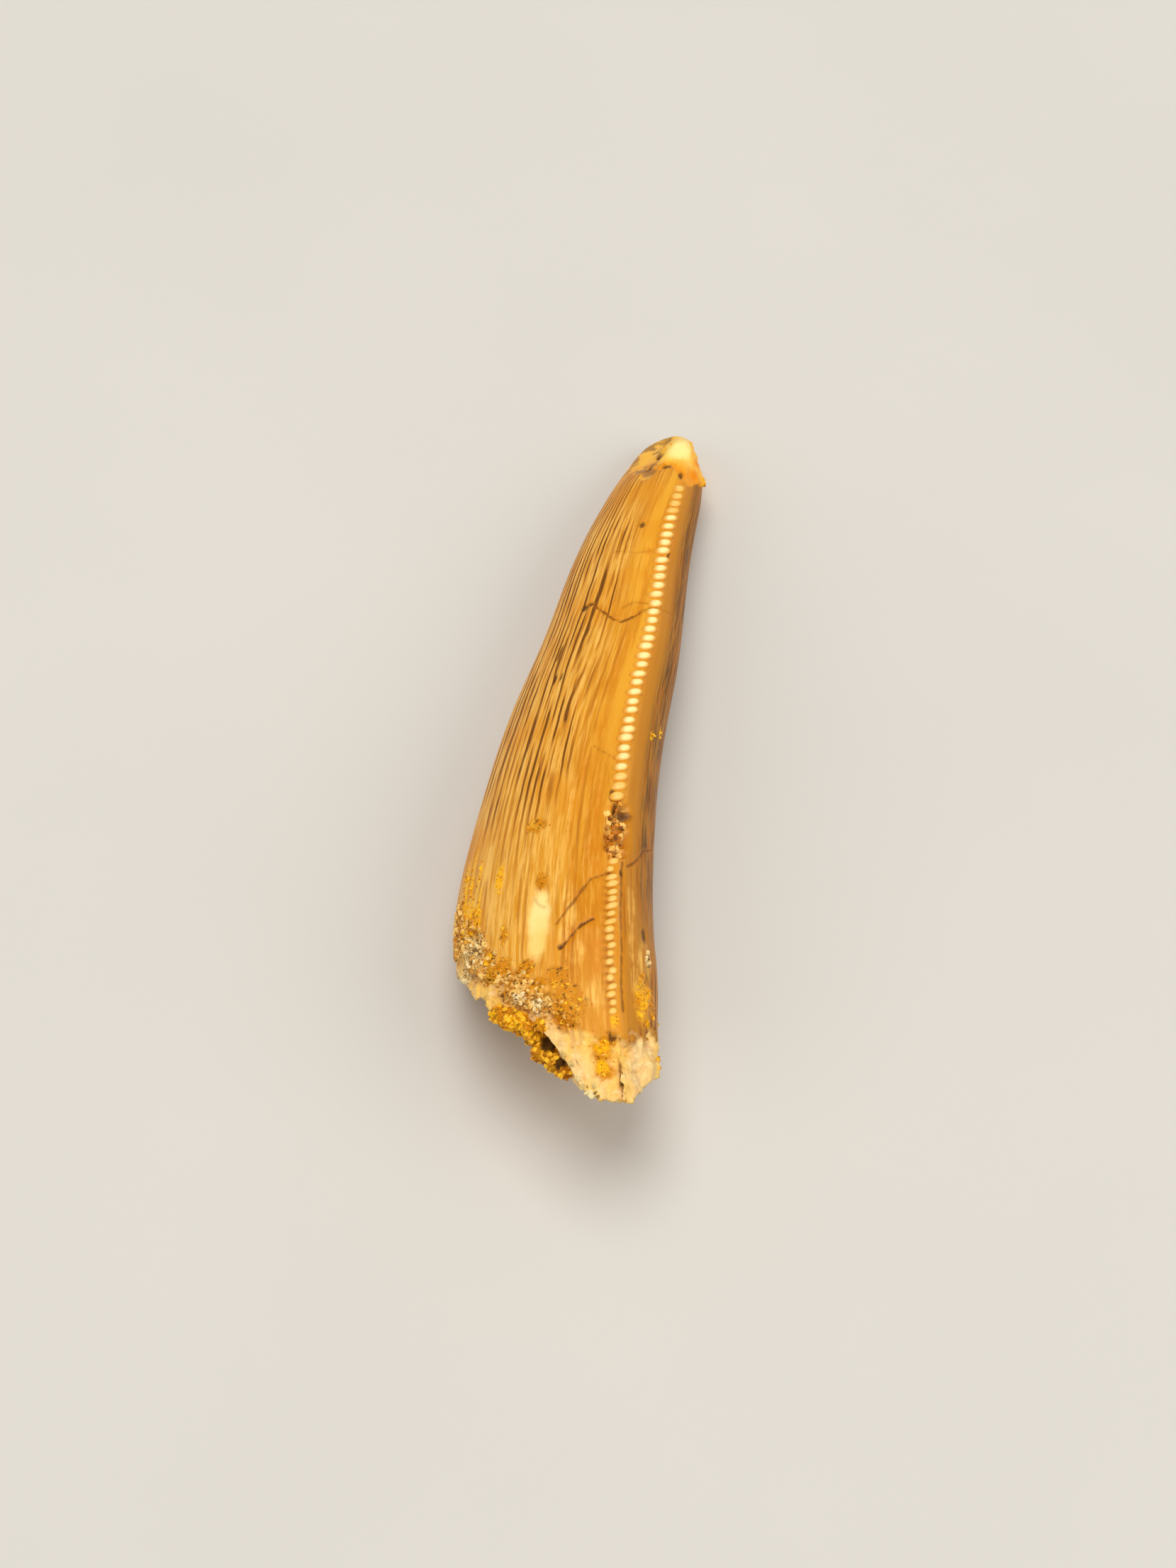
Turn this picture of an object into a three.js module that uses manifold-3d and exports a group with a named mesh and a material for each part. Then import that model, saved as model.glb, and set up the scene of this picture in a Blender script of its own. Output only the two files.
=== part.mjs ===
// A fossil meat-eating dinosaur's tooth: a long curved crown with a worn tip and one saw-toothed edge,
// snapped off across its root, and the ochre sediment that still fills the hollow of the break.
// Millimetres, +Z up, +Y towards the tip. The tooth lies on its flank on z = 0, and the origin is on that
// surface, below the middle of the tooth's box.
import * as THREE from "three";
import { mergeVertices } from "three/addons/utils/BufferGeometryUtils.js";
import Module from "manifold-3d";

const wasm = await Module();
wasm.setup();
const { degToRad, radToDeg, lerp, mapLinear, euclideanModulo } = THREE.MathUtils;

// Length and plan of the tooth. Every place on it is given by its distance from the tip along the axis and
// by its angle around the axis, from +X on the right through +Z at the top.
const AXIS_LENGTH = 40;
const TIP_Y = 19.3;
const AXIS_SIDEWAYS = [0.68, -0.5, -2.95, 1.55]; // control values of the bow, from the tip to the base
const CROWN_LENGTH = 31; // the flanks stop widening here
const TIP_HALF_WIDTH = 1.25;
const BASE_HALF_WIDTH = 4.5;
const FLARE_POWER = 0.6;
const DOME_LENGTH = 5.6; // stretch that rounds off to the blunt tip
const DOME_POWER = 4;

// Cross-section, as shares of the half-width: a tilted oval with two keels and a flat underside.
const OVAL_LONG = 1.08;
const OVAL_SHORT = 0.86;
const OVAL_TILT = degToRad(35);
const FLAT_DEPTH = 0.1;
const REAR_KEEL = { angle: degToRad(58), height: 0.13, spread: degToRad(14) };
const FRONT_KEEL = { angle: degToRad(208), height: 0.05, spread: degToRad(10) };

// Saw teeth of the rear keel, in two rows with a chip between them.
const SAW_ROWS = [
  { from: 4.7, to: 23.9, pitch: 0.55 },
  { from: 28.1, to: 35.0, pitch: 0.4 },
];
const SAW_HALF_WIDTH = 0.38;
const SAW_HEIGHT = 0.24;
const CHIP = { middle: 25.9, half: 1.5, depth: 0.5, angle: REAR_KEEL.angle, spread: degToRad(13) };

// Enamel lost at the worn tip and along the break.
const TIP_LEDGE = 3.7;
const TIP_WEAR = { angle: degToRad(95), spread: degToRad(45), depth: 0.16 };
const TIP_SWELL = { angle: degToRad(13), spread: degToRad(28), height: 0.12 };
const ROOT_LEDGE_DROP = 0.2;
const ROOT_SWELL = { angle: degToRad(8), spread: degToRad(32), height: 0.3 };
const LEDGE_RUN = 0.25;

// Degrees around the tooth and the distance from the tip: where the root is broken off, longest below the
// rear keel, and where the enamel ends above the break.
const BREAK_EDGE = [
  [8, 36.0], [18, 37.0], [28, 37.4], [38, 38.1], [48, 38.8], [58, 39.4], [68, 39.1], [78, 38.5], [88, 37.3],
  [98, 35.7], [108, 35.2], [118, 34.7], [128, 34.6], [138, 33.5], [148, 33.2], [158, 32.2], [168, 31.8],
  [178, 31.0], [188, 30.8], [198, 30.2], [208, 30.4], [218, 29.9], [228, 30.1], [238, 29.8], [248, 30.2],
  [258, 29.9], [268, 30.6], [278, 30.4], [288, 31.2], [298, 31.3], [308, 32.2], [318, 32.3], [328, 33.2],
  [338, 33.7], [348, 34.7], [358, 35.1],
];
const ENAMEL_EDGE = [
  [8, 34.2], [28, 35.0], [38, 35.7], [58, 36.0], [68, 36.2], [78, 35.7], [88, 35.2], [108, 34.0],
  [128, 33.0], [148, 31.9], [178, 30.0], [198, 29.3], [238, 29.0], [298, 30.4], [328, 32.0], [358, 33.7],
];
const BREAK_UNDERCUT = 1.3; // the break slopes in below its outer edge
const BREAK_ROUGHNESS = 0.22;

// The root's hollow and the sediment in it.
const HOLLOW_BOTTOM = 27;
const HOLLOW_SHARE = 0.62;
const FIT_GAP = 0.3;
const FILL_SINK = 0.5;
const FILL_LIMIT = 35.8;
const FILL_MIDDLE = 32.6;
const FILL_SHARE = 0.74;
const FILL_DISH = 3; // power of the dip from the edge of the fill to its middle
const FILL_ROUGHNESS = 0.25;
const SPILL = { angle: degToRad(108), half: degToRad(24), over: 0.35, share: 0.16 };
const LUMP_ROWS = [
  { from: 100, to: 126, count: 6, share: 0.86, radius: 0.45 },
  { from: 84, to: 104, count: 5, share: 0.64, radius: 0.5 },
];

// Facets.
const COLUMN_STEP = degToRad(10);
const KEEL_COLUMN = degToRad(4);
const TIP_ROWS = 6;
const CROWN_ROWS = 14;
const CROWN_ROWS_END = 28;
const HOLLOW_ROWS = 4;
const FILL_ROWS = 5;

const ENAMEL = new THREE.MeshStandardMaterial({ color: 0xc08a3e, roughness: 0.42, metalness: 0 });
const SEDIMENT = new THREE.MeshStandardMaterial({ color: 0xc98a12, roughness: 0.95, metalness: 0 });

const OVAL_HALF_HEIGHT = Math.hypot(OVAL_LONG * Math.sin(OVAL_TILT), OVAL_SHORT * Math.cos(OVAL_TILT));
const TURN = 2 * Math.PI;

// Signed difference of two angles, from -pi to pi.
function apart(angle, other) {
  return euclideanModulo(angle - other + Math.PI, TURN) - Math.PI;
}

// The same value on every run for the same two seeds, from -1 to 1.
function scatter(seed, other = 0) {
  const wave = Math.sin(seed * 12.9898 + other * 78.233) * 43758.5453;
  return 2 * (wave - Math.floor(wave)) - 1;
}

function halfWidth(distance) {
  const share = Math.min(distance / CROWN_LENGTH, 1);
  return TIP_HALF_WIDTH + (BASE_HALF_WIDTH - TIP_HALF_WIDTH) * share ** FLARE_POWER;
}

function dome(distance) {
  const short = Math.max(1 - distance / DOME_LENGTH, 0);
  return Math.max(1 - short ** DOME_POWER, 0) ** (1 / DOME_POWER);
}

function keel({ angle: middle, height, spread }, angle) {
  return height * Math.exp(-Math.abs(apart(angle, middle)) / spread);
}

// Radius of the cross-section at an angle, as a share of the half-width.
function sectionShare(angle) {
  const turned = angle - OVAL_TILT;
  const scale = Math.hypot(OVAL_SHORT * Math.cos(turned), OVAL_LONG * Math.sin(turned));
  return (OVAL_LONG * OVAL_SHORT) / scale + keel(REAR_KEEL, angle) + keel(FRONT_KEEL, angle);
}

// The value at an angle of an edge given at several angles, which runs on round the tooth.
function edgeAt(edge, angle) {
  const first = edge[0][0];
  const degrees = first + euclideanModulo(radToDeg(angle) - first, 360);
  const closed = [...edge, [first + 360, edge[0][1]]];
  const after = closed.findIndex(([corner]) => corner > degrees);
  const [start, low] = closed[after - 1];
  const [end, high] = closed[after];
  return mapLinear(degrees, start, end, low, high);
}

// Distance from the tip at which the broken edge lies.
function breakDistance(angle) {
  return edgeAt(BREAK_EDGE, angle);
}

// Distance from the tip at which the enamel ends.
function enamelEnd(angle) {
  return edgeAt(ENAMEL_EDGE, angle);
}

// A rounded hump, 1 at an angle and falling off to both sides.
function hump({ angle: middle, spread }, angle) {
  return Math.exp(-((apart(angle, middle) / spread) ** 2));
}

// How far the surface lies below whole enamel: the worn tip, the chip in the rear keel and the bare root,
// which swells out again on the right.
function lost(distance, angle) {
  const onTip = distance < TIP_LEDGE ? Math.min(distance / LEDGE_RUN, 1) : 0;
  const tip = onTip * (TIP_WEAR.depth * hump(TIP_WEAR, angle) - TIP_SWELL.height * hump(TIP_SWELL, angle));
  const bare = ROOT_LEDGE_DROP - ROOT_SWELL.height * hump(ROOT_SWELL, angle);
  const root = distance > enamelEnd(angle) ? bare : 0;
  const chip = CHIP.depth * Math.max(1 - ((distance - CHIP.middle) / CHIP.half) ** 2, 0);
  return tip + root + chip * hump(CHIP, angle);
}

function outerRadius(distance, angle) {
  return sectionShare(angle) * halfWidth(distance) * dome(distance) - lost(distance, angle);
}

function hollowRadius(distance, angle) {
  const depth = (distance - HOLLOW_BOTTOM) / (breakDistance(angle) - BREAK_UNDERCUT - HOLLOW_BOTTOM);
  return HOLLOW_SHARE * Math.sqrt(Math.max(depth, 0)) * sectionShare(angle) * halfWidth(distance);
}

// The point at a distance from the tip, an angle and a radius.
function place(distance, angle, radius) {
  const t = distance / AXIS_LENGTH;
  const [tip, near, far, base] = AXIS_SIDEWAYS;
  const side = 1 - t;
  const x = side ** 3 * tip + 3 * t * side ** 2 * near + 3 * t ** 2 * side * far + t ** 3 * base;
  const slope = 3 * side ** 2 * (near - tip) + 6 * t * side * (far - near) + 3 * t ** 2 * (base - far);
  const heading = Math.atan2(-slope, AXIS_LENGTH);
  const across = radius * Math.cos(angle);
  const height = radius * Math.sin(angle) + (OVAL_HALF_HEIGHT - FLAT_DEPTH) * halfWidth(distance);
  return new THREE.Vector3(
    x + across * Math.cos(heading),
    TIP_Y - distance - across * Math.sin(heading),
    Math.max(height, 0),
  );
}

// Angles of the columns, with a closer pair beside the rear keel.
function columnAngles() {
  const angles = [];
  for (let turned = 0; turned < TURN - 1e-6; turned += COLUMN_STEP) angles.push(REAR_KEEL.angle + turned);
  angles.splice(1, 0, REAR_KEEL.angle + KEEL_COLUMN);
  angles.push(REAR_KEEL.angle - KEEL_COLUMN + TURN);
  return angles;
}

// A closed skin over rings of points that all run the same way round, with a point at each end.
function closedSkin(first, rings, last) {
  const count = rings[0].length;
  const points = [first, ...rings.flat(), last];
  const index = [];
  for (let i = 0; i < count; i++) {
    const next = (i + 1) % count;
    index.push(0, 1 + next, 1 + i);
    for (let row = 0; row + 1 < rings.length; row++) {
      const a = 1 + row * count;
      const b = a + count;
      index.push(a + i, b + next, b + i, a + i, a + next, b + next);
    }
    const end = 1 + (rings.length - 1) * count;
    index.push(end + i, end + next, points.length - 1);
  }
  return new THREE.BufferGeometry().setFromPoints(points).setIndex(index);
}

function solidOf(geometry) {
  const bare = geometry.clone();
  bare.deleteAttribute("normal");
  bare.deleteAttribute("uv");
  const merged = mergeVertices(bare);
  const vertProperties = new Float32Array(merged.getAttribute("position").array);
  const triVerts = new Uint32Array(merged.index.array);
  return new wasm.Manifold(new wasm.Mesh({ numProp: 3, vertProperties, triVerts }));
}

function geometryOf(solid) {
  const mesh = solid.getMesh();
  const geometry = new THREE.BufferGeometry();
  geometry.setAttribute("position", new THREE.BufferAttribute(mesh.vertProperties, 3));
  geometry.setIndex(new THREE.BufferAttribute(mesh.triVerts, 1));
  geometry.computeVertexNormals();
  return geometry;
}

// Distances of the rows down one column, from the tip to the broken edge.
function outerRows(angle) {
  const rows = [];
  for (let i = 1; i <= TIP_ROWS; i++) rows.push((TIP_LEDGE - LEDGE_RUN) * (i / TIP_ROWS) ** 2);
  for (let i = 0; i <= CROWN_ROWS; i++) rows.push(lerp(TIP_LEDGE, CROWN_ROWS_END, i / CROWN_ROWS));
  const ledge = enamelEnd(angle);
  const edge = breakDistance(angle);
  rows.push((CROWN_ROWS_END + ledge) / 2, ledge, ledge + LEDGE_RUN, (ledge + LEDGE_RUN + edge) / 2, edge);
  return rows;
}

// The tooth's wall. A grown wall is larger on every side, and cuts the sediment to fit with a gap.
function wallSkin(grown = 0) {
  const angles = columnAngles();
  const columns = angles.map((angle, column) => {
    const outer = outerRows(angle).map((d) => place(d, angle, outerRadius(d, angle) + grown));
    const edge = breakDistance(angle);
    outer[outer.length - 1] = place(edge + grown, angle, outerRadius(edge, angle) + grown);
    const inner = [];
    const mouth = edge - BREAK_UNDERCUT;
    for (let i = 0; i < HOLLOW_ROWS; i++) {
      const depth = lerp(mouth, HOLLOW_BOTTOM, i / HOLLOW_ROWS);
      inner.push(place(depth + grown, angle, hollowRadius(depth, angle) - grown));
    }
    const rough = BREAK_ROUGHNESS * scatter(column);
    const halfway = (outerRadius(edge, angle) + hollowRadius(mouth, angle)) / 2;
    const face = place((edge + mouth) / 2 + rough + grown, angle, halfway);
    return [...outer, face, ...inner];
  });
  const rings = columns[0].map((_, row) => columns.map((column) => column[row]));
  return closedSkin(place(0, 0, 0), rings, place(HOLLOW_BOTTOM + grown, 0, 0));
}

// One saw tooth, a low bead set across the keel.
function sawTooth(distance, pitch) {
  const at = (d) => place(d, REAR_KEEL.angle, outerRadius(d, REAR_KEEL.angle));
  const middle = at(distance);
  const along = at(distance + pitch).sub(middle).normalize();
  const outward = middle.clone().sub(place(distance, 0, 0));
  outward.addScaledVector(along, -outward.dot(along)).normalize();
  const across = new THREE.Vector3().crossVectors(along, outward);
  const bead = new THREE.SphereGeometry(1, 6, 4);
  bead.scale(SAW_HALF_WIDTH, pitch * 0.46, SAW_HEIGHT);
  return bead.applyMatrix4(new THREE.Matrix4().makeBasis(across, along, outward).setPosition(middle));
}

function toothGeometry() {
  let tooth = solidOf(wallSkin());
  for (const { from, to, pitch } of SAW_ROWS) {
    for (let distance = from; distance <= to; distance += pitch) {
      tooth = tooth.add(solidOf(sawTooth(distance, pitch)));
    }
  }
  return geometryOf(tooth);
}

// How much the sediment spills over the broken edge at an angle, from 0 to 1.
function spill(angle) {
  return Math.exp(-((apart(angle, SPILL.angle) / SPILL.half) ** 4));
}

function fillEdge(angle) {
  const level = Math.min(breakDistance(angle) - FILL_SINK, FILL_LIMIT);
  return level + spill(angle) * (SPILL.over + FILL_SINK);
}

// The fill before it is cut to the hollow: a plug with a crumbly outer face.
function plugSkin() {
  const angles = columnAngles();
  const columns = angles.map((angle, column) => {
    const share = FILL_SHARE + SPILL.share * spill(angle);
    const edge = fillEdge(angle);
    const radius = share * sectionShare(angle) * halfWidth(edge);
    const points = [place(HOLLOW_BOTTOM + FIT_GAP, angle, radius * 0.8)];
    for (let i = 0; i < FILL_ROWS; i++) {
      const inward = i / FILL_ROWS;
      const rough = FILL_ROUGHNESS * scatter(column, i) * (1 - inward);
      const level = lerp(edge, FILL_MIDDLE, inward ** FILL_DISH);
      points.push(place(level + rough, angle, radius * (1 - inward)));
    }
    return points;
  });
  const rings = columns[0].map((_, row) => columns.map((column) => column[row]));
  return closedSkin(place(HOLLOW_BOTTOM + FIT_GAP, 0, 0), rings, place(FILL_MIDDLE, 0, 0));
}

// One lump of grains of the spill.
function lumpGeometry({ from, to, count, share, radius }, number) {
  const angle = degToRad(lerp(from, to, number / (count - 1)));
  const edge = fillEdge(angle);
  const out = (share + 0.05 * scatter(number, share)) * sectionShare(angle) * halfWidth(edge);
  const middle = place(edge + 0.2 * scatter(number, radius), angle, out);
  const lump = new THREE.IcosahedronGeometry(radius * (1 + 0.2 * scatter(number, count)), 0);
  return lump.rotateX(number).rotateY(2 * number).translate(middle.x, middle.y, middle.z);
}

function sedimentGeometry() {
  let fill = solidOf(plugSkin());
  for (const row of LUMP_ROWS) {
    for (let number = 0; number < row.count; number++) fill = fill.add(solidOf(lumpGeometry(row, number)));
  }
  return geometryOf(fill.subtract(solidOf(wallSkin(FIT_GAP))));
}

function named(name, geometry, material) {
  const mesh = new THREE.Mesh(geometry, material);
  mesh.name = name;
  return mesh;
}

const fossil = new THREE.Group();
fossil.add(named("tooth", toothGeometry(), ENAMEL));
fossil.add(named("sediment", sedimentGeometry(), SEDIMENT));

export default fossil;
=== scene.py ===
"""A fossil meat-eating dinosaur's tooth on a pale floor: crown, saw teeth, broken root and sediment.

Lengths are in millimetres until a mesh is made. A place on the tooth is its distance from the tip along the
axis and its angle around the axis, in degrees from +X on the right through +Z at the top.
"""

import itertools
import math

import bpy
import numpy as np
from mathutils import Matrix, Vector


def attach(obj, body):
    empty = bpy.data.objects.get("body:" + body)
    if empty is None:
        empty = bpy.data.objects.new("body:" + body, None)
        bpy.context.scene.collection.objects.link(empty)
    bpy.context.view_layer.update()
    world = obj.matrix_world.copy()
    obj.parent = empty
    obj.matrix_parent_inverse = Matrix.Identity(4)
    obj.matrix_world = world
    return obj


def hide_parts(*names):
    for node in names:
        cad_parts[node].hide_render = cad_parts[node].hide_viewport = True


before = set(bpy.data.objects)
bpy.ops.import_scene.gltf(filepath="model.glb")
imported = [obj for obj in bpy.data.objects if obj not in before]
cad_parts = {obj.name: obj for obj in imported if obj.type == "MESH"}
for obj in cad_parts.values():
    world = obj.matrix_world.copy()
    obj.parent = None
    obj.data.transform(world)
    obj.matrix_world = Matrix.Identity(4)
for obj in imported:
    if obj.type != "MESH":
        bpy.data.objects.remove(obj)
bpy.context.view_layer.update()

MM = 0.001
TINY = 1e-9

# Length, plan and cross-section of the tooth. They are those of its solids, apart from the bends of the
# axis, the stretch of the tip and the place of the rear keel, which follow the real outline more closely.
AXIS_LENGTH = 40.0
TIP_Y = 19.3
AXIS_SIDEWAYS = (0.68, -0.5, -2.95, 1.55)
AXIS_BENDS = ({"middle": 7.5, "half": 3.5, "sideways": -0.16}, {"middle": 14, "half": 3, "sideways": 0.11})
TIP_STRETCH = {"length": 0.2, "half": 2.0}
CROWN_LENGTH = 31.0
TIP_HALF_WIDTH = 1.25
BASE_HALF_WIDTH = 4.5
FLARE_POWER = 0.6
DOME_LENGTH = 5.6
DOME_POWER = 4.0
OVAL_LONG = 1.08
OVAL_SHORT = 0.86
OVAL_TILT = 35
FLAT_DEPTH = 0.1
REAR_KEEL = {"angle": 56.5, "height": 0.13, "spread": 14}
FRONT_KEEL = {"angle": 208, "height": 0.05, "spread": 10}
OVAL_HALF_HEIGHT = math.hypot(
    OVAL_LONG * math.sin(math.radians(OVAL_TILT)), OVAL_SHORT * math.cos(math.radians(OVAL_TILT))
)
MEAN_RADIUS = 3.4
TOP_ANGLE = 90

# Edges that run round the tooth, as angle and distance from the tip.
BREAK_EDGE = (
    (8, 36.0), (18, 37.0), (28, 37.6), (38, 38.1), (46, 38.5), (50, 39.1), (58, 39.2), (68, 38.9),
    (78, 38.15), (88, 36.3), (98, 35.3), (108, 35.0), (118, 34.7), (128, 34.6), (138, 33.5), (148, 33.2),
    (158, 32.2), (168, 31.8), (178, 31.0), (188, 30.8), (198, 30.2), (208, 30.4), (218, 29.9), (228, 30.1),
    (238, 29.8), (248, 30.2), (258, 29.9), (268, 30.6), (278, 30.4), (288, 31.2), (298, 31.3), (308, 32.2),
    (318, 32.3), (328, 33.2), (338, 33.7), (348, 34.7), (358, 35.1),
)
ENAMEL_EDGE = (
    (8, 34.2), (28, 35.0), (38, 35.7), (52, 36.2), (64, 36.5), (72, 36.3), (80, 35.6), (90, 35.0),
    (108, 34.0), (128, 33.0), (148, 31.9), (178, 30.0), (198, 29.3), (238, 29.0), (298, 30.4), (328, 32.0),
    (358, 33.7),
)
WEAR_EDGE = (
    (13, 2.8), (35, 3.5), (50, 4.0), (60, 3.9), (66, 3.4), (76, 3.1), (90, 3.5), (98, 4.1), (108, 4.2),
    (117, 3.9), (132, 3.6), (150, 3.2), (200, 2.9), (300, 2.7),
)

# The break across the root: most ragged in view, around its middle angle, and calmer below.
BREAK_MIDDLE = 75
BREAK_DEPTH = 0.5
BREAK_CALM = 0.35
BREAK_UNDERCUT = 1.3
FACE_RISE = 0.7
HOLLOW_BOTTOM = 27.0
HOLLOW_SHARE = 0.62
HOLLOW_DEPTH = 0.6

# Saw teeth of the rear keel, in two rows with a chip between them.
SAW_ROWS = (
    {"from": 4.6, "to": 24.0, "pitch": 0.55, "half": 0.39, "height": 0.17, "scatter": 0.3, "uneven": 0.1},
    {"from": 27.5, "to": 35.2, "pitch": 0.4, "half": 0.28, "height": 0.13, "scatter": 0.7, "uneven": 0.3},
)
SAW_SEED = 5
SAW_SINK = 0.04
SAW_SIDE = 2.2
SAW_LEAN = 0.44
SAW_TIP_TURN = 1
SAW_STRAY = 0.04
SAW_ALONG = 0.44
SAW_ALONG_SPREAD = (0.88, 1.04)
SAW_TIP_WIDTH = 0.74
SAW_TIP_HEIGHT = 0.45
SAW_WORN_HEIGHT = 0.3
SAW_DULL = {"tip": 0.6, "base": 0.6, "worn": 0.7, "chance": 0.3}
SAW_BEAD = {"Segments": 14, "Rings": 9}
LOOK_AHEAD = 0.1
LOOK_BESIDE = 1
CHIP = {"middle": 25.6, "half": 1.9, "angle": 56, "depth": 0.42, "spread": 6, "fill": 1.5, "crumbs": 1.6}

# Spots on the surface, as distance, angle, half length along the tooth and half width across it.
OCHRE_STAINS = (
    (25.6, 106, 0.42, 0.62), (28.6, 96, 0.5, 0.35), (33.4, 84, 0.7, 0.55), (34.2, 80, 0.75, 0.7),
    (34.9, 77, 0.7, 0.7), (35.1, 83, 0.5, 0.5), (33.6, 96, 0.45, 0.5), (32.8, 104, 0.5, 0.5),
    (32.4, 120, 0.5, 0.6), (29.9, 150, 0.9, 0.4), (31.0, 120, 0.5, 0.3), (33.2, 37, 0.7, 0.5),
    (34.2, 38, 0.8, 0.7), (34.0, 27, 0.8, 0.5), (35.0, 36, 0.4, 0.6), (36.9, 65, 0.55, 0.4),
    (37.8, 64, 0.4, 0.4), (36.4, 62, 0.4, 0.35),
)
AMBER_STAINS = (
    (2.0, 37, 0.9, 0.4), (3.0, 44, 0.5, 0.35), (12.6, 92, 0.6, 0.25), (13.4, 84, 0.3, 0.45),
    (16.6, 74, 0.8, 0.2), (17.6, 77, 1.3, 0.16), (20.2, 76, 1.5, 0.22), (22.4, 77, 1.3, 0.35),
    (9.1, 72, 0.35, 0.4), (10.6, 70, 0.8, 0.12), (24.6, 68, 1.6, 0.2), (26.8, 66, 0.6, 0.5),
    (27.8, 65, 0.7, 0.45), (31.4, 68, 1.6, 0.5), (32.9, 66, 1.2, 0.5), (29.6, 64, 1.2, 0.3),
    (32.6, 94, 0.55, 0.5), (33.2, 88, 0.5, 0.4), (23.4, 96, 1.4, 0.2), (18.5, 94, 1.2, 0.16),
    (30.8, 90, 1.4, 0.15), (8.2, 50, 1.2, 0.2), (37.9, 63, 0.5, 0.5), (35.6, 66, 0.6, 0.4),
)
YELLOW_SPOTS = (
    (28.1, 128, 0.75, 0.26), (36.7, 64.5, 0.34, 0.3), (35.6, 58.5, 0.4, 0.22), (37.6, 66, 0.3, 0.28),
    (33.6, 42, 0.35, 0.2), (34.7, 40, 0.3, 0.3), (33.4, 31, 0.3, 0.2), (35.0, 33, 0.25, 0.2),
    (18.7, 28, 0.35, 0.12), (19.4, 38, 0.25, 0.1), (31.9, 131, 0.4, 0.4), (32.6, 129, 0.35, 0.5),
    (27.2, 168, 0.8, 0.16), (28.0, 158, 0.9, 0.14), (29.0, 154, 0.8, 0.2), (29.9, 144, 0.6, 0.25),
    (30.4, 152, 0.4, 0.4), (36.2, 16, 0.7, 0.4), (2.9, 24, 0.35, 0.35), (1.1, 108, 0.5, 0.4),
    (26.6, 160, 1.2, 0.12), (27.6, 150, 1.0, 0.12), (28.7, 146, 0.9, 0.12), (33.9, 37, 0.85, 0.5),
    (29.3, 160, 0.9, 0.2), (28.2, 164, 0.9, 0.16), (29.6, 147, 0.8, 0.18),
)
DARK_SPOTS = (
    (7.5, 83.5, 0.17, 0.15), (12.95, 119, 0.24, 0.26), (12.75, 114, 0.1, 0.22), (3.1, 114, 0.3, 0.22),
    (2.1, 108, 0.25, 0.25), (3.1, 82, 0.2, 0.34), (3.6, 62, 0.34, 0.13), (24.6, 52, 0.3, 0.34),
    (17.2, 124, 0.35, 0.12), (17.15, 118, 0.3, 0.08), (15.6, 130, 0.5, 0.08), (19.7, 101, 0.12, 0.1),
    (30.6, 35.5, 0.45, 0.16), (27.9, 53, 0.16, 0.12), (36.3, 60, 0.16, 0.16),
    (23.8, 61.5, 0.4, 0.1), (24.5, 59.5, 0.35, 0.1), (31.2, 142, 0.25, 0.35), (38.2, 57, 0.5, 0.1),
    (8.9, 54, 0.4, 0.12), (31.9, 83, 0.1, 0.16),
)
PALE_SPOTS = (
    (30.1, 121, 0.9, 0.3), (29.3, 82, 0.8, 0.35), (31.3, 82, 0.5, 0.3), (32.2, 74, 0.7, 0.3),
    (24.6, 84, 1.6, 0.18), (34.4, 100, 0.5, 0.8), (33.9, 112, 0.45, 0.7), (34.3, 66, 1.0, 0.5),
    (27.2, 112, 1.6, 0.16), (31.9, 32, 0.8, 0.34), (22.6, 128, 1.8, 0.14), (14.6, 96, 1.2, 0.16),
    (9.8, 90, 1.2, 0.2), (28.6, 152, 1.8, 0.6), (27.0, 142, 1.6, 0.4), (29.4, 132, 1.4, 0.5),
    (28.4, 88, 1.3, 0.3), (30.2, 78, 0.9, 0.35), (32.2, 36, 1.6, 0.5), (30.0, 46, 2.4, 0.3),
    (33.0, 44, 1.6, 0.3), (33.8, 37, 1.2, 0.8),
)
SUGAR_SPOTS = (
    (31.1, 148, 1.0, 1.0), (31.9, 158, 0.5, 0.7), (34.0, 108, 0.3, 0.5), (34.5, 97, 0.25, 0.4),
    (31.7, 32, 0.5, 0.2),
)
SPALL = (30.7, 96, 1.9, 0.6)
# A painted highlight on the worn facet of the tip.
FACET_HIGHLIGHT = (1.6, 69, 1.2, 1.0)

# Each kind of spot with the share of its reach that it marks in full.
SPOTS = {
    "ochre": (OCHRE_STAINS, 0.55),
    "amber": (AMBER_STAINS, -0.3),
    "yellow": (YELLOW_SPOTS, 0.55),
    "dark": (DARK_SPOTS, 0.55),
    "pale": (PALE_SPOTS, 0.1),
    "sugar": (SUGAR_SPOTS, 0.55),
    "spall": ((SPALL,), 0.55),
    "facet_highlight": ((FACET_HIGHLIGHT,), 0.2),
}
SPOT_END = 1.15

# How far the borders of marks stray, by the ragged and by the crumbly texture.
BORDERS = {
    "ochre": (0.8, 0.6), "amber": (1.6, 0.4), "yellow": (0.8, 0.5), "dark": (0.5, 0.5), "pale": (1.2, 0.5),
    "sugar": (0.8, 0.8), "spall": (0.4, 0.2), "facet_highlight": (0.6, 0.0), "enamel": (1.7, 0.9), "crust": (2.4, 0.0),
    "wear": (0.5, 0.0), "facet_side": (30.0, 0.0), "facet_end": (1.0, 0.5), "chip": (0.5, 0.0),
    "chip_crumbs": (0.0, CHIP["crumbs"]), "crack": (0.0, 0.05),
}
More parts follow.
